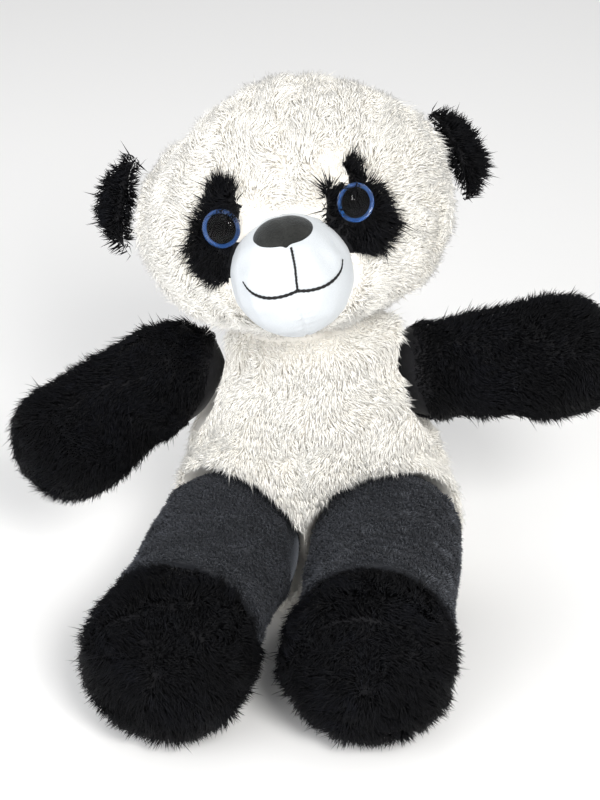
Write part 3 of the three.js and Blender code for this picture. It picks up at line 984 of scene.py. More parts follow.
@dataclass
class SoftPart:
    """A stuffed part: a skin over its panels' room, swelled by its filling, with fur on each panel."""

    name: str
    body: str
    panels: dict[str, tuple[Coat, Pile]]
    fillings: list[str]
    skin_coat: Coat
    inset: float = 3.8 * MM
    voxel: float = 5.0 * MM
    cap: float = 4.0 * MM
    fill: float = 0.7
    swell: float = 3.0 * MM
    blockers: list[str] = field(default_factory=list)
    bare: float = 1.6 * MM
    full: float = 9.0 * MM
    pressed: tuple[float, float] = (1.0 * MM, 14.0 * MM)
    least: float = 0.3 * MM
    seed: int = 1
    skin: bpy.types.Object | None = None

    def others(self) -> list[str]:
        """The CAD nodes that this part's fur stays clear of.

        Returns:
            Their names.
        """
        own = set(self.panels) | set(self.fillings)
        near = [n for n, o in frame["nodes"].items() if o["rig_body"] != self.body]
        return [n for n in near + self.blockers if n not in own]

    def nap(self, points: np.ndarray, outward: np.ndarray) -> np.ndarray:
        """The way that the fur is brushed at each point: down, unless a part says otherwise."""
        return np.tile([0.0, 0.0, -1.0], (len(points), 1))

    def shaped(self, skin: bpy.types.Mesh) -> np.ndarray:
        """The skin's points after any shaping of the part's own: none, unless a part says otherwise."""
        return points_of(skin)

    def colour(self) -> None:
        """Gives the skin any second backing: none, unless a part says otherwise."""

    def stuff(self) -> None:
        """Makes the skin: a tight remesh of the panels, drawn in and then swelled by the filling."""
        skin = self.remeshed()
        self.keep_outside(skin)
        self.smooth(skin, 3)
        points, outward = points_of(skin), normals_of(skin)
        room = eased(Surroundings(self.others()).distances(points), *self.pressed)
        drawn = room * (self.inset + self.swell) + self.least
        place_points(skin, points - outward * drawn[:, None])
        self.smooth(skin, 2)
        start = points_of(skin)
        goal = start + normals_of(skin) * (room * self.swell)[:, None]
        place_points(skin, self.inflate(skin, start, room))
        skin = self.refined(skin)
        points = self.shaped(skin)
        points[:, 2] = np.maximum(points[:, 2], FLOOR_CLEAR)
        place_points(skin, points)
        skin.polygons.foreach_set("use_smooth", np.ones(len(skin.polygons), bool))
        self.skin = new_piece(self.name + "_skin", skin, self.skin_coat, self.body, backing=True)
        self.colour()
        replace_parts(self.skin, *self.panels, *self.fillings)
        log.info("%s skin, %d faces", self.name, len(skin.polygons))

    def remeshed(self) -> bpy.types.Mesh:
        """Wraps the panels and the fillings in one even mesh.

        Returns:
            The wrapping.
        """
        room = mesh_of(node_bmesh([*self.panels, *self.fillings]), self.name + "_room")
        holder = bpy.data.objects.new(self.name + "_room", room)
        bpy.context.scene.collection.objects.link(holder)
        remesh = holder.modifiers.new("remesh", "REMESH")
        remesh.mode = "VOXEL"
        remesh.voxel_size = self.voxel
        return baked(holder, self.name + "_skin")

    def refined(self, skin: bpy.types.Mesh) -> bpy.types.Mesh:
        """Subdivides a skin once.

        Args:
            skin: The skin's mesh.

        Returns:
            The finer mesh.
        """
        holder = bpy.data.objects.new(self.name + "_smooth", skin)
        bpy.context.scene.collection.objects.link(holder)
        finer = holder.modifiers.new("finer", "SUBSURF")
        finer.levels = finer.render_levels = 1
        return baked(holder, self.name + "_skin")

    def keep_outside(self, skin: bpy.types.Mesh) -> None:
        """Deletes the closed pockets that a remesh leaves inside a skin.

        Args:
            skin: The skin's mesh.
        """
        made = bmesh.new()
        made.from_mesh(skin)
        left, largest = set(made.verts), []
        while left:
            front = [left.pop()]
            island = list(front)
            while front:
                corner = front.pop()
                for edge in corner.link_edges:
                    other = edge.other_vert(corner)
                    if other in left:
                        left.remove(other)
                        front.append(other)
                        island.append(other)
            largest = max(largest, island, key=len)
        keep = set(largest)
        bmesh.ops.delete(made, geom=[v for v in made.verts if v not in keep], context="VERTS")
        made.to_mesh(skin)
        made.free()

    def smooth(self, skin: bpy.types.Mesh, times: int) -> None:
        """Evens out a skin's small steps.

        Args:
            skin: The skin's mesh.
            times: How often.
        """
        made = bmesh.new()
        made.from_mesh(skin)
        eased_out(made, made.verts, times)
        made.to_mesh(skin)
        made.free()
        skin.update()

    def inflate(self, skin: bpy.types.Mesh, start: np.ndarray, room: np.ndarray) -> np.ndarray:
        """Swells a skin with cloth simulation.

        Args:
            skin: The skin's mesh.
            start: Its points before.
            room: From 0, pressed on a neighbour, to 1, free.

        Returns:
            Its points after, none moved further than the cap.
        """
        scene = bpy.context.scene
        holder = bpy.data.objects.new(self.name + "_cloth", skin.copy())
        scene.collection.objects.link(holder)
        cloth = holder.modifiers.new("cloth", "CLOTH")
        cloth.settings.use_pressure = True
        cloth.settings.uniform_pressure_force = 4.0
        cloth.settings.effector_weights.gravity = 0.0
        cloth.settings.tension_stiffness = 12.0
        cloth.settings.bending_stiffness = 0.5
        for number in range(1, 21):
            scene.frame_set(number)
            bpy.context.view_layer.update()
        moved = points_of(baked(holder, self.name + "_swelled")) - start
        scene.frame_set(1)
        moved -= moved.mean(axis=0)
        far = np.linalg.norm(moved, axis=1, keepdims=True)
        most = (self.cap * np.clip(room, 0.05, 1.0))[:, None]
        return start + moved * np.minimum(1.0, most / np.maximum(far, 1e-9))

    def grow(self, furrier: Furrier) -> None:
        """Grows the fur of every panel that has a pile.

        Args:
            furrier: Who lays and weaves the strands.
        """
        if all(pile.per_square == 0 for _, pile in self.panels.values()):
            return
        around = Surroundings(self.others())
        own = Surroundings(list(self.panels))
        densest = max(pile.per_square for _, pile in self.panels.values())
        rng = np.random.default_rng(self.seed)
        roots, outward = furrier.scatter(self.skin.data, densest, rng)
        clear = around.distances(roots + outward * self.inset)
        kept = clear > self.bare
        roots, outward, clear = roots[kept], outward[kept], clear[kept]
        owner = self.owners(roots, own.nearest(roots))
        draw = rng.random(len(roots))
        for i, (panel, (coat, pile)) in enumerate(self.panels.items()):
            mine = (owner == panel) & (draw < pile.per_square / densest)
            if not mine.any():
                log.info("%s has no room for fur", panel)
                continue
            here, away = roots[mine], outward[mine]
            size = 0.3 + 0.7 * eased(clear[mine], self.bare, self.full)
            size = np.minimum(size * self.trim(panel, here), 1.1)
            nap = self.nap(here, away)
            middle, tip, tint = furrier.comb(here, away, nap, pile, size, 100 * self.seed + 7 * i)
            width = pile.radius * (0.55 + 0.45 * size) * rng.uniform(0.75, 1.25, len(here))
            mesh = furrier.weave(panel + "_fur", here, away, middle, tip, tint, width)
            new_piece(panel + "_fur", mesh, coat, self.body)
            log.info("%s fur, %d strands", panel, len(here))

    def owners(self, roots: np.ndarray, nearest: np.ndarray) -> np.ndarray:
        """The panel that each root grows on: the nearest, unless a part says otherwise."""
        return nearest

    def trim(self, panel: str, roots: np.ndarray) -> np.ndarray:
        """A share of the pile's length for each root: all of it, unless a part says otherwise."""
        return np.ones(len(roots))


def inside_outline(points: np.ndarray, outline: np.ndarray) -> np.ndarray:
    """Which points, in rows of two, lie inside a closed outline.

    Args:
        points: Places, in rows of two.
        outline: The outline's corners, in rows of two.

    Returns:
        True for each point inside.
    """
    inside = np.zeros(len(points), bool)
    for (x0, y0), (x1, y1) in zip(outline, np.roll(outline, -1, axis=0)):
        crosses = (y0 > points[:, 1]) != (y1 > points[:, 1])
        share = (points[:, 1] - y0) / (y1 - y0 + 1e-12)
        inside ^= crosses & (points[:, 0] < x0 + share * (x1 - x0))
    return inside


def middle_of(node: str) -> Vector:
    """The mean of a node's corners."""
    return Vector(points_of(frame["nodes"][node].data).mean(axis=0))


def joint(name: str) -> tuple[Vector, Vector]:
    """A joint's place and axis."""
    row = next(j for j in frame["joints"] if j["name"] == name)
    return Vector(row["pos_m"]), Vector(row["axis"])


class HeadPlace:
    """The head's own frame at rest: X to its left, Z up, Y to its back, about its middle."""

    EAR_BACK = 12 * MM
    EAR_UP = 5 * MM
    EAR_ASIDE = 4 * MM

    def __init__(self) -> None:
        """Finds the frame from the two ears' joints."""
        left, up = joint("ear_left_fold")
        right, _ = joint("ear_right_fold")
        self.x = (left - right).normalized()
        self.z = up.normalized()
        self.y = self.z.cross(self.x).normalized()
        between = (left + right) / 2
        self.middle = between - self.x * self.EAR_ASIDE - self.y * self.EAR_BACK - self.z * self.EAR_UP
        self.turn = Matrix((self.x, self.y, self.z)).transposed()

    def out(self, x: float, y: float, z: float) -> Vector:
        """A place in the head's frame, in millimetres, as a place in the row frame."""
        return self.middle + self.turn @ Vector((x, y, z)) * MM

    def within(self, points: np.ndarray) -> np.ndarray:
        """Places in the row frame, in rows, as millimetres in the head's frame."""
        return (points - np.array(self.middle)) @ np.array(self.turn) / MM

    def back_out(self, ways: np.ndarray) -> np.ndarray:
        """Directions in the head's frame, in rows, as directions in the row frame."""
        return ways @ np.array(self.turn).T


@dataclass
class Head(SoftPart):
    """The head, whose fur runs out from the muzzle and the eye patches, and down at the back."""

    place: HeadPlace = field(default_factory=HeadPlace)
    muzzle: tuple[float, float, float] = (0.0, -40.0, -25.0)
    patches: tuple[str, str] = ("eye_patch_left", "eye_patch_right")
    patch_reach: float = 24.0
    eye_reach: float = 11.5
    lid_gain: float = 3.2
    ridge: tuple[float, float, float] = (0.0, 0.5, 0.866)
    outlines: dict[str, tuple[tuple[float, float], ...]] = field(
        default_factory=lambda: {
            "left": (
                (-16, 7), (-5, 10), (-5, 22), (3, 24), (8, 14),
                (12, 1), (16, -8), (14, -24), (2, -27), (-18, -30),
            ),
            "right": (
                (-7, 22), (-1, 25), (5, 20), (9, 9), (8, 0),
                (14, -30), (-12, -28), (-19, -18), (-19, 3), (-14, 12),
            ),
        }
    )
    crown_lean: float = 5.5 * MM

    def nap(self, points: np.ndarray, outward: np.ndarray) -> np.ndarray:
        """Away from the muzzle over the face, away from each eye patch's middle, and down at the back.

        Args:
            points: The roots, in rows.
            outward: The skin's normals there; not used.

        Returns:
            The ways that the fur is brushed.
        """
        local = self.place.within(points)
        ways = unit(local - np.array(self.muzzle))
        back = eased(local[:, 1], -10.0, 40.0)[:, None]
        ways = ways * (1 - back) + np.array([0.0, 0.3, -1.0]) * back
        cheeks = eased(np.abs(local[:, 0]), 30.0, 70.0)[:, None]
        ways = ways + cheeks * np.array([0.0, 0.2, -0.5])
        for patch in self.patches:
            centre = self.place.within(points_of(frame["nodes"][patch].data)).mean(axis=0)
            apart = local - centre
            near = np.exp(-((np.linalg.norm(apart, axis=1, keepdims=True) / self.patch_reach) ** 4))
            ways = ways * (1 - near) + 1.6 * near * unit(apart)
        ways = self.place.back_out(ways)
        for side in self.outlines:
            lid, inward = self.lid(points, side)
            ways = unit(ways) * (1 - lid) + 1.5 * lid * inward
        return ways

    def lid(self, points: np.ndarray, side: str) -> tuple[np.ndarray, np.ndarray]:
        """Finds the fur that falls over an eye's ring, on the nose's side of it and above.

        Args:
            points: Roots, in rows.
            side: Which eye.

        Returns:
            From 0 to 1, how much each root belongs to it, and the ways to the eye's middle.
        """
        apart = points - np.array(middle_of(f"eye_{side}_lens"))
        far = np.linalg.norm(apart, axis=1, keepdims=True) / MM
        towards = -1.0 if side == "left" else 1.0
        facing = unit(apart) @ unit(np.array([[towards, 0.25, 0.55]]))[0]
        share = eased(facing, 0.1, 0.6)[:, None] * np.exp(-(((far - self.eye_reach) / 3.5) ** 2))
        return share, -unit(apart)

    def shaped(self, skin: bpy.types.Mesh) -> np.ndarray:
        """Leans the crown's slopes to the panda's left, which leaves its peak a little off the middle.

        Args:
            skin: The head's skin.

        Returns:
            Its points, leaned.
        """
        points = points_of(skin)
        height = self.place.within(points)[:, 2]
        share = eased(height, 5.0, 32.0) * (1.0 - eased(height, 46.0, 64.0))
        return points + (self.crown_lean * share)[:, None] * np.array(self.place.x)

    def owners(self, roots: np.ndarray, nearest: np.ndarray) -> np.ndarray:
        """Gives the roots past each eye patch's cut outline to the face round it.

        Args:
            roots: The roots, in rows.
            nearest: The panel nearest to each.

        Returns:
            The panel that each root grows on.
        """
        owner = nearest.copy()
        for side, outline in self.outlines.items():
            apart = (roots - np.array(middle_of(f"eye_{side}_lens"))) / MM
            apart = np.stack([apart[:, 0], apart @ np.array(self.ridge)], axis=1)
            apart += 1.2 * waves(roots, 7 * MM, 3)[:, :2]
            past = (nearest == f"eye_patch_{side}") & ~inside_outline(apart, np.array(outline, float))
            owner[past] = f"face_{side}"
        return owner

    def trim(self, panel: str, roots: np.ndarray) -> np.ndarray:
        """Shorter white fur round the eye patches, so that their black fur lies over it.

        Args:
            panel: The panel.
            roots: Its roots, in rows.

        Returns:
            A share of the pile's length for each root.
        """
        if panel in self.patches:
            return 1.0 + self.lid_gain * sum(self.lid(roots, side)[0][:, 0] for side in self.outlines)
        apart = Surroundings(list(self.patches)).distances(roots)
        return 0.3 + 0.7 * eased(np.abs(apart), 0.5 * MM, 8.0 * MM)

    def colour(self) -> None:
        """Gives the skin its black backing under the eye patches."""
        skin = self.skin.data
        skin.materials.append(finish_of(Coat.BLACK, backing=True))
        flat = np.empty(len(skin.polygons) * 3)
        skin.polygons.foreach_get("center", flat)
        centres = flat.reshape(-1, 3)
        nearest = self.owners(centres, Surroundings(list(self.panels)).nearest(centres))
        skin.polygons.foreach_set("material_index", np.isin(nearest, self.patches).astype(np.int32))


@dataclass
class Limb(SoftPart):
    """An arm or a leg, whose fur runs from its joint to its end."""

    hinge: str = ""
    droop: float = 0.35

    def nap(self, points: np.ndarray, outward: np.ndarray) -> np.ndarray:
        """Along the limb, and a little down.

        Args:
            points: The roots, in rows.
            outward: The skin's normals there; not used.

        Returns:
            The ways that the fur is brushed.
        """
        pivot, _ = joint(self.hinge)
        way = (middle_of(self.fillings[0]) - pivot).normalized()
        return np.tile(np.array(way), (len(points), 1)) + np.array([0.0, 0.0, -self.droop])


@dataclass
class Foot(SoftPart):
    """A foot, whose fur runs out from the middle of the sole and back over the top."""

    hinge: str = ""

    def nap(self, points: np.ndarray, outward: np.ndarray) -> np.ndarray:
        """Away from the sole's middle, and a little down.

        Args:
            points: The roots, in rows.
            outward: The skin's normals there; not used.

        Returns:
            The ways that the fur is brushed.
        """
        pivot, _ = joint(self.hinge)
        centre = np.array(middle_of(self.fillings[0]))
        way = unit((centre - np.array(pivot))[None])[0]
        radial = points - centre
        radial -= (radial @ way)[:, None] * way
        return unit(radial) * 0.9 + way * 0.5 + np.array([0.0, 0.0, -0.4])


@dataclass
class Ear(SoftPart):
    """An ear, whose fur runs out to its rim."""

    centre: Vector = field(default_factory=Vector)

    def nap(self, points: np.ndarray, outward: np.ndarray) -> np.ndarray:
        """Away from the head's middle."""
        return points - np.array(self.centre)


@dataclass
class Muzzle(SoftPart):
    """The round velour muzzle, drawn in a little along the seam down its middle."""

    place: HeadPlace = field(default_factory=HeadPlace)
    centre: tuple[float, float, float] = (-3.0, -58.0, -25.0)
    slant: float = math.radians(-5)
    crease: float = 0.55 * MM
    crease_width: float = 1.1
    tree: BVHTree | None = None

    def __post_init__(self) -> None:
        """Works out how the face is sewn on askew."""
        self.askew = Matrix.Rotation(self.slant, 3, "Y")

    def shaped(self, skin: bpy.types.Mesh) -> np.ndarray:
        """Draws the skin in along its middle seam, with faint puckers beside it.

        Args:
            skin: The muzzle's skin.

        Returns:
            Its points, drawn in.
        """
        points, outward = points_of(skin), normals_of(skin)
        local = (self.place.within(points) - np.array(self.centre)) @ np.array(self.askew)
        side, up = local[:, 0], local[:, 2]
        depth = self.crease * np.exp(-((side / self.crease_width) ** 2))
        pucker = 0.16 * MM * np.sin(up * 2.1 + 0.6 * np.sin(up * 0.9)) * np.exp(-((side / 4.0) ** 2))
        dimples = 0.22 * MM * waves(points, 13 * MM, 5)[:, 0]
        return points - outward * (depth + pucker * (np.abs(side) > 0.8) - dimples)[:, None]

    def on_skin(self, aside: float, up: float, tilt: float = 0.0) -> tuple[Vector, Vector]:
        """Finds a place on the muzzle.

        Args:
            aside: Millimetres to the panda's left of the middle.
            up: Millimetres above it.
            tilt: How far the line of sight is tilted up, in degrees.

        Returns:
            The place on the skin, and the skin's normal there.
        """
        if self.tree is None:
            made = bmesh.new()
            made.from_mesh(self.skin.data)
            self.tree = BVHTree.FromBMesh(made, epsilon=1e-5)
            made.free()
        turn = self.place.turn @ self.askew @ Matrix.Rotation(math.radians(-tilt), 3, "X")
        start = self.place.out(*self.centre) + turn @ Vector((aside, -90.0, up)) * MM
        way = turn @ Vector((0.0, 1.0, 0.0))
        casts = [self.tree.ray_cast(start + self.place.x * shift, way) for shift in (0.0, 1e-5, -1e-5)]
        spot, normal, _, _ = min(casts, key=lambda cast: cast[3])
        return spot, normal


@dataclass
class Features:
    """What is sewn on the muzzle: the felt nose and the three lines of the mouth."""

    muzzle: Muzzle
    nose_tilt: float = 52.0
    nose_outline: tuple[tuple[float, float], ...] = (
        (0.0, -11.2), (2.6, -10.2), (7.2, -8.6), (11.3, -5.2), (13.4, -0.4),
        (13.0, 4.2), (10.2, 7.8), (5.6, 9.9), (0.0, 10.6),
    )
    nose_rise: float = 1.5 * MM
    nose_lift: float = 0.15 * MM
    nose_steps: int = 4
    nose_rings: int = 12
    nose_tuck: float = 1.0 * MM
    thread: float = 0.72 * MM
    thread_lift: float = 0.25 * MM
    thread_steps: int = 64

    def nose(self) -> None:
        """Cuts the felt nose and lays it on the muzzle, a little puffed inside its tucked edge."""
        made = bmesh.new()
        self.cut_nose(made)
        for corner in made.verts:
            spot, normal = self.muzzle.on_skin(corner.co.x, corner.co.y, self.nose_tilt)
            corner.co = spot + normal * (corner.co.z * self.nose_rise + self.nose_lift)
        inner = [corner for corner in made.verts if not corner.is_boundary]
        eased_out(made, inner, 6)
        bmesh.ops.recalc_face_normals(made, faces=made.faces)
        if sum((face.normal for face in made.faces), Vector()).dot(self.muzzle.place.y) > 0:
            bmesh.ops.reverse_faces(made, faces=made.faces)
        self.tuck_nose(made)
        piece = new_piece("nose", mesh_of(made, "nose"), Coat.FELT, "head")
        log.info("nose, %d faces, %s m", len(piece.data.polygons), piece.dimensions[:])
        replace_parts(piece, "nose_patch")

    def cut_nose(self, made: bmesh.types.BMesh) -> None:
        """Cuts the nose flat in millimetres, as rings inside its outline that rise from 0 to 1.

        Args:
            made: An empty bmesh to cut it in.
        """
        half = [Vector((x, y, 0.0)) for x, y in self.nose_outline]
        whole = half + [Vector((-p.x, p.y, 0.0)) for p in reversed(half[1:-1])]
        count = self.nose_steps * len(whole)
        ring = bmesh.ops.create_circle(made, cap_ends=False, segments=count, radius=1.0)["verts"]
        ring = sorted(ring, key=lambda v: (math.atan2(v.co.x, -v.co.y) + 1e-4) % (2 * math.pi))
        for i, corner in enumerate(ring):
            first, part = divmod(i / self.nose_steps, 1)
            corner.co = between(*(whole[(int(first) + k) % len(whole)] for k in (-1, 0, 1, 2)), part)
        rim, size = made.edges[:], 1.0
        for step in range(1, self.nose_rings + 1):
            grown = bmesh.ops.extrude_edge_only(made, edges=rim)["geom"]
            rim = [part for part in grown if isinstance(part, bmesh.types.BMEdge)]
            smaller = 1 - step / (self.nose_rings + 1)
            for corner in {corner for edge in rim for corner in edge.verts}:
                corner.co *= smaller / size
                corner.co.z = math.sqrt(1 - smaller**2)
            size = smaller
        bmesh.ops.poke(made, faces=bmesh.ops.contextual_create(made, geom=rim)["faces"])

    def tuck_nose(self, made: bmesh.types.BMesh) -> None:
        """Turns the nose's edge in towards the muzzle and closes it underneath.

        Args:
            made: The nose, laid on the muzzle.
        """
        rim = [edge for edge in made.edges if edge.is_boundary]
        grown = bmesh.ops.extrude_edge_only(made, edges=rim)["geom"]
        tucked = [part for part in grown if isinstance(part, bmesh.types.BMVert)]
        down = sum((face.normal for face in made.faces), Vector()).normalized() * -self.nose_tuck
        bmesh.ops.translate(made, vec=down, verts=tucked)
        under = [part for part in grown if isinstance(part, bmesh.types.BMEdge)]
        bmesh.ops.poke(made, faces=bmesh.ops.contextual_create(made, geom=under)["faces"])
        bmesh.ops.recalc_face_normals(made, faces=made.faces)

    def mouth(self) -> None:
        """Lays the three threads of the mouth on the muzzle, thin at the corners of the smile."""
        lines = {
            "mouth_seam": [(1.9, 16.5), (1.8, 12.0), (1.5, 7.5), (0.9, 3.0), (0.35, -1.6)],
            "mouth_left": [(0.5, -1.8), (5.8, -3.0), (12.2, -3.1), (17.6, -1.7), (21.2, 0.8), (22.9, 4.4)],
            "mouth_right": [
                (0.2, -1.8), (-6.1, -2.8), (-12.9, -2.6), (-17.6, -0.9), (-20.6, 1.9), (-22.2, 5.2)
            ],
        }
        for name, line in lines.items():
            curve = bpy.data.curves.new(name, "CURVE")
            curve.dimensions = "3D"
            curve.bevel_depth = self.thread
            curve.bevel_resolution = 3
            curve.use_fill_caps = True
            path = curve.splines.new("POLY")
            path.points.add(self.thread_steps - 1)
            corners = np.array(line)
            at = np.linspace(0, len(corners) - 1, self.thread_steps)
            for i, point in enumerate(path.points):
                x, z = (spline_at(corners[:, k], at[i]) for k in (0, 1))
                spot, normal = self.muzzle.on_skin(x, z)
                point.co = (*(spot + normal * self.thread_lift), 1.0)
                share = float(eased(np.array([i / self.thread_steps]), 0.45, 1.0)[0])
                slim = 0.72 if name == "mouth_seam" else (1.0 - 0.62 * share) * 0.95
                point.radius = slim * (1.0 + 0.16 * math.sin(i * 1.35))
            holder = bpy.data.objects.new(name + "_line", curve)
            bpy.context.scene.collection.objects.link(holder)
            made = bmesh.new()
            made.from_mesh(baked(holder, name))
            bmesh.ops.remove_doubles(made, verts=made.verts, dist=1e-6)
            bmesh.ops.recalc_face_normals(made, faces=made.faces)
            piece = new_piece(name + "_thread", mesh_of(made, name), Coat.THREAD, "head")
            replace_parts(piece, name)


def between(a: Vector, b: Vector, c: Vector, d: Vector, t: float) -> Vector:
    """The place at t, from 0 to 1, between b and c on a smooth curve through four places or values."""
    return 0.5 * (2 * b + (c - a) * t + (2 * a - 5 * b + 4 * c - d) * t**2 + (3 * b - a - 3 * c + d) * t**3)


def spline_at(values: np.ndarray, at: float) -> float:
    """A smooth curve through evenly spaced values, read at a position.

    Args:
        values: The values.
        at: Where to read it, counted in values.

    Returns:
        The curve's value there.
    """
    padded = np.concatenate([[2 * values[0] - values[1]], values, [2 * values[-1] - values[-2]]])
    first = min(int(at), len(values) - 2)
    return between(*padded[first : first + 4], at - first)


def turned_about(profile: list[tuple[float, float]], steps: int) -> bmesh.types.BMesh:
    """Spins a profile of (radius, height) about Z into a closed solid.

    Args:
        profile: From one end of the axis to the other.
        steps: How many faces go round.

    Returns:
        The solid.
    """
    made = bmesh.new()
    corners = [made.verts.new((radius, 0.0, height)) for radius, height in profile]
    edges = [made.edges.new(pair) for pair in zip(corners, corners[1:])]
    bmesh.ops.spin(
        made,
        geom=corners + edges,
        cent=(0, 0, 0),
        axis=(0, 0, 1),
        angle=2 * math.pi,
        steps=steps,
        use_merge=True,
    )
    bmesh.ops.remove_doubles(made, verts=made.verts, dist=1e-6)
    bmesh.ops.recalc_face_normals(made, faces=made.faces)
    return made


@dataclass
class SafetyEye:
    """A plastic eye: a clear dome over a painted ring and a black pupil."""

    side: str
    radius: float = 9.0 * MM
    rise: float = 6.2 * MM
    ring: float = 6.5 * MM
    depth: float = 0.7 * MM
    steps: int = 64

    def __post_init__(self) -> None:
        """Finds the eye's place from its CAD lens and washer."""
        back = middle_of(f"eye_{self.side}_washer")
        self.axis = (middle_of(f"eye_{self.side}_lens") - back).normalized()
        painted = points_of(frame["nodes"][f"eye_{self.side}_iris"].data)
        front = float(((painted - np.array(back)) @ np.array(self.axis)).max())
        self.seat = back + self.axis * front

    def settle(self, made: bmesh.types.BMesh, name: str, coat: Coat) -> bpy.types.Object:
        """Moves a piece from about Z to the eye's place.

        Args:
            made: The piece, made about Z.
            name: Its name, after the eye's.
            coat: What it is made of.

        Returns:
            The piece in its place.
        """
        turn = self.axis.to_track_quat("Z", "Y").to_matrix().to_4x4()
        bmesh.ops.transform(made, matrix=Matrix.Translation(self.seat) @ turn, verts=made.verts)
        return new_piece(f"eye_{self.side}_{name}", mesh_of(made, name), coat, "head")

    def build(self) -> None:
        """Makes the three pieces that show."""
        node = f"eye_{self.side}"
        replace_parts(self.settle(self.dome(), "dome", Coat.LENS), f"{node}_lens")
        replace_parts(self.settle(self.painted_ring(), "ring", Coat.IRIS), f"{node}_iris")
        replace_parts(self.settle(self.pupil(), "pupil_disc", Coat.PLASTIC), f"{node}_pupil")
        log.info("%s eye", self.side)

    def dome(self) -> bmesh.types.BMesh:
        """Turns the clear dome about Z, its flat back just over the paint.

        Returns:
            The dome.
        """
        rim = 0.5 * MM
        arc = [(math.sin(a), math.cos(a)) for a in np.linspace(0.0, math.pi / 2, 13)]
        profile = [(self.radius * x, rim + (self.rise - rim) * y) for x, y in arc]
        profile[0] = (0.0, profile[0][1])
        profile += [(self.radius, 0.12 * MM), (self.radius - 0.3 * MM, 0.04 * MM), (0.0, 0.04 * MM)]
        return turned_about(profile, self.steps)

    def pupil(self) -> bmesh.types.BMesh:
        """Turns the black disc inside the ring.

        Returns:
            The disc.
        """
        edge = self.ring - 0.02 * MM
        profile = [(0.0, 0.02 * MM), (self.ring - 0.1 * MM, 0.02 * MM), (edge, -0.1 * MM)]
        profile += [(edge, -self.depth), (0.0, -self.depth)]
        return turned_about(profile, self.steps)

    def painted_ring(self) -> bmesh.types.BMesh:
        """Turns the ring about Z and maps it: across from its inner edge, and round.

        Returns:
            The ring.
        """
        inner, outer = self.ring, self.radius - 0.15 * MM
        bevel = 0.2 * MM
        foot = (inner, -self.depth)
        profile = [foot, (inner, 0.0), (outer - bevel, 0.0), (outer, -bevel), (outer, -self.depth), foot]
        made = turned_about(profile, self.steps)
        layer = made.loops.layers.uv.new(FUR_MAP)
        for face in made.faces:
            centre = face.calc_center_median()
            turn = math.atan2(centre.y, centre.x)
            for loop in face.loops:
                spot = loop.vert.co
                swing = (math.atan2(spot.y, spot.x) - turn + math.pi) % (2 * math.pi) - math.pi
                across = 0.05 + 0.9 * (spot.to_2d().length - inner) / (outer - inner)
                loop[layer].uv = (across, 0.5 + 0.48 * (turn + swing) / math.pi - 0.02 * spot.z / MM)
        return made


# ---------- Assembly ----------


def panels(names: list[str], coat: Coat, pile: Pile) -> dict[str, tuple[Coat, Pile]]:
    """The same coat and pile for several panels."""
    return {name: (coat, pile) for name in names}


def make_parts(place: HeadPlace) -> list[SoftPart]:
    """Describes every stuffed part.

    Args:
        place: The head's frame.

    Returns:
        The parts, in the order that they are made.
    """
    muzzle = ["muzzle_left", "muzzle_right"]
    eyes = ["eye_left_lens", "eye_right_lens"]
    sewn = ["belly_left", "belly_right", "back_left", "back_right", "seat_panel"]
    faces = panels(["face_left", "face_right", "head_back_left", "head_back_right"], Coat.WHITE, LONG_WHITE)
    faces |= panels(["eye_patch_left", "eye_patch_right"], Coat.BLACK, PATCH_BLACK)
    parts: list[SoftPart] = [
        Muzzle(
            "muzzle",
            "head",
            panels(muzzle, Coat.VELOUR, NO_PILE),
            ["muzzle_filling"],
            Coat.VELOUR,
            inset=0.2 * MM,
            voxel=2.0 * MM,
            swell=0.6 * MM,
            cap=1.2 * MM,
            fill=0.9,
            seed=5,
            place=place,
        ),
        Head(
            "head",
            "head",
            faces,
            ["head_filling"],
            Coat.WHITE,
            blockers=muzzle + eyes,
            bare=0.6 * MM,
            seed=11,
            place=place,
        ),
        SoftPart(
            "torso",
            "torso",
            panels(sewn, Coat.WHITE, LONG_WHITE),
            ["torso_filling"],
            Coat.WHITE,
            seed=21,
        ),
    ]
    for i, side in enumerate(("left", "right")):
        parts.append(
            Ear(
                f"ear_{side}",
                f"ear_{side}",
                panels([f"ear_{side}_front", f"ear_{side}_back"], Coat.BLACK, EAR_BLACK),
                [],
                Coat.BLACK,
                inset=1.5 * MM,
                voxel=2.5 * MM,
                swell=1.0 * MM,
                cap=2.0 * MM,
                full=5.0 * MM,
                seed=31 + i,
                centre=place.middle,
            )
        )
        parts.append(
            Limb(
                f"arm_{side}",
                f"arm_{side}",
                panels([f"arm_{side}_front", f"arm_{side}_back"], Coat.BLACK, LONG_BLACK),
                [f"arm_{side}_filling"],
                Coat.BLACK,
                seed=41 + i,
                hinge=f"shoulder_{side}",
            )
        )
        feet = [f"foot_{side}_upper", f"foot_{side}_sole"]
        legs = [f"leg_{side}_top", f"leg_{side}_under"]
        parts.append(
            Limb(
                f"leg_{side}",
                f"leg_{side}",
                panels(legs, Coat.GREY, SHORT_GREY),
                [f"leg_{side}_filling"],
                Coat.GREY,
                inset=2.0 * MM,
                swell=2.0 * MM,
                full=4.0 * MM,
                blockers=feet,
                seed=51 + i,
                hinge=f"hip_{side}",
            )
        )
        parts.append(
            Foot(
                f"foot_{side}",
                f"leg_{side}",
                panels(feet, Coat.BLACK, FOOT_BLACK),
                [f"foot_{side}_filling"],
                Coat.BLACK,
                blockers=legs,
                seed=61 + i,
                hinge=f"hip_{side}",
            )
        )
    return parts


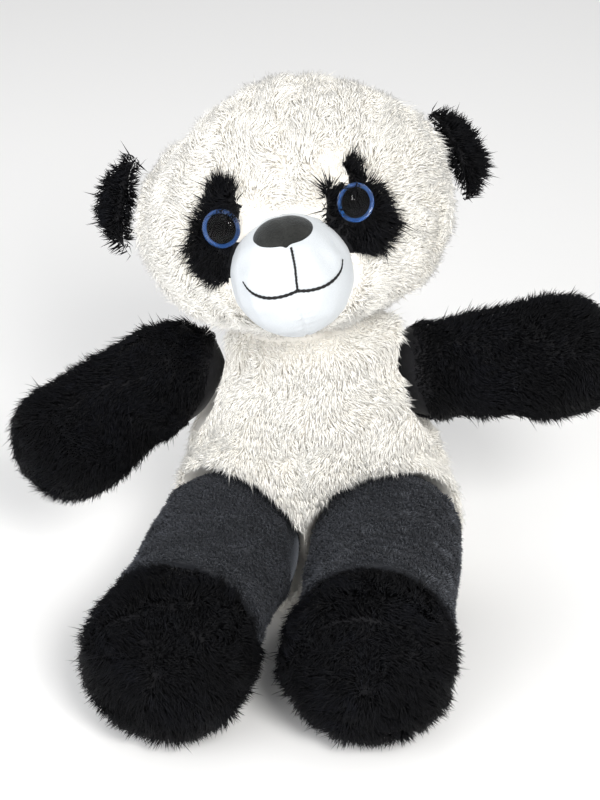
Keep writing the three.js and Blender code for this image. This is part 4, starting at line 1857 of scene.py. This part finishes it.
class Studio:
    """The floor, the light and the camera."""

    AIM = Vector((-0.0024, -0.0516, 0.1286))
    DISTANCE = 0.95
    FLOOR = 6.0
    ELEVATION = math.radians(30)
    LENS = 87.2

    def floor(self) -> None:
        """Lays a wide pale floor."""
        made = bmesh.new()
        bmesh.ops.create_grid(made, x_segments=4, y_segments=4, size=self.FLOOR)
        mesh = mesh_of(made, "floor")
        material, nodes, links, shader = new_material("pale_floor")
        place = nodes.new("ShaderNodeTexCoord")
        slow = noise(nodes, 0.8, 2.0, 0.5)
        links.new(place.outputs["Object"], slow.inputs["Vector"])
        tone = ramp(nodes, [(0.3, (0.93, 0.93, 0.93)), (0.7, (0.95, 0.95, 0.95))])
        links.new(slow.outputs["Fac"], tone.inputs["Fac"])
        links.new(tone.outputs["Color"], shader.inputs["Base Color"])
        shader.inputs["Roughness"].default_value = 0.9
        mesh.materials.append(material)
        floor = bpy.data.objects.new("floor", mesh)
        bpy.context.scene.collection.objects.link(floor)

    def light(
        self, name: str, spot: tuple, size: float, power: float, colour: tuple, mirrored: bool
    ) -> None:
        """Adds one soft square light that faces the panda.

        Args:
            name: The light's name.
            spot: Where it hangs.
            size: Its side, in metres.
            power: In watts.
            colour: Its colour.
            mirrored: Whether glossy and clear things show it.
        """
        data = bpy.data.lights.new(name, "AREA")
        data.size = size
        data.energy = power
        data.color = colour
        lamp = bpy.data.objects.new(name, data)
        lamp.location = spot
        lamp.visible_glossy = lamp.visible_transmission = mirrored
        lamp.rotation_mode = "QUATERNION"
        lamp.rotation_quaternion = (Vector(spot) - self.AIM).to_track_quat("Z", "Y")
        bpy.context.scene.collection.objects.link(lamp)

    def build(self) -> None:
        """Sets up the whole studio."""
        self.floor()
        self.light("key", (0.35, -1.1, 1.0), 0.45, 16.5, (1.0, 0.985, 0.96), True)
        self.light("fill", (-0.9, -1.0, 0.55), 1.2, 14.0, (0.98, 0.985, 1.0), False)
        self.light("top", (-0.1, 0.5, 1.5), 1.0, 4.0, (1.0, 1.0, 1.0), False)
        world = bpy.data.worlds.new("soft_room")
        bpy.context.scene.world = world
        world.use_nodes = True
        world.node_tree.nodes["Background"].inputs["Color"].default_value = (1.0, 1.0, 1.0, 1.0)
        world.node_tree.nodes["Background"].inputs["Strength"].default_value = 0.52
        bpy.context.scene.view_settings.view_transform = "Standard"
        data = bpy.data.cameras.new("camera")
        data.lens = self.LENS
        data.sensor_width = 36.0
        data.clip_start = 0.05
        camera = bpy.data.objects.new("camera", data)
        back = Vector((0.0, -math.cos(self.ELEVATION), math.sin(self.ELEVATION)))
        camera.location = self.AIM + back * self.DISTANCE
        camera.rotation_mode = "QUATERNION"
        camera.rotation_quaternion = back.to_track_quat("Z", "Y")
        bpy.context.scene.collection.objects.link(camera)
        bpy.context.scene.camera = camera


def main() -> None:
    """Makes every piece of the panda and the studio round it."""
    logging.basicConfig(level=logging.INFO, format="%(relativeCreated)6d %(message)s")
    Studio().build()
    place = HeadPlace()
    furrier = Furrier()
    for part in make_parts(place):
        part.stuff()
        part.grow(furrier)
        if isinstance(part, Muzzle):
            features = Features(part)
            features.nose()
            features.mouth()
    for side in ("left", "right"):
        SafetyEye(side).build()
    for name, node in frame["nodes"].items():
        node.data.materials.clear()
        node.data.materials.append(finish_of(Coat.PALE_THREAD if "thread" in name else Coat.PLASTIC))


if __name__ == "__main__":
    main()
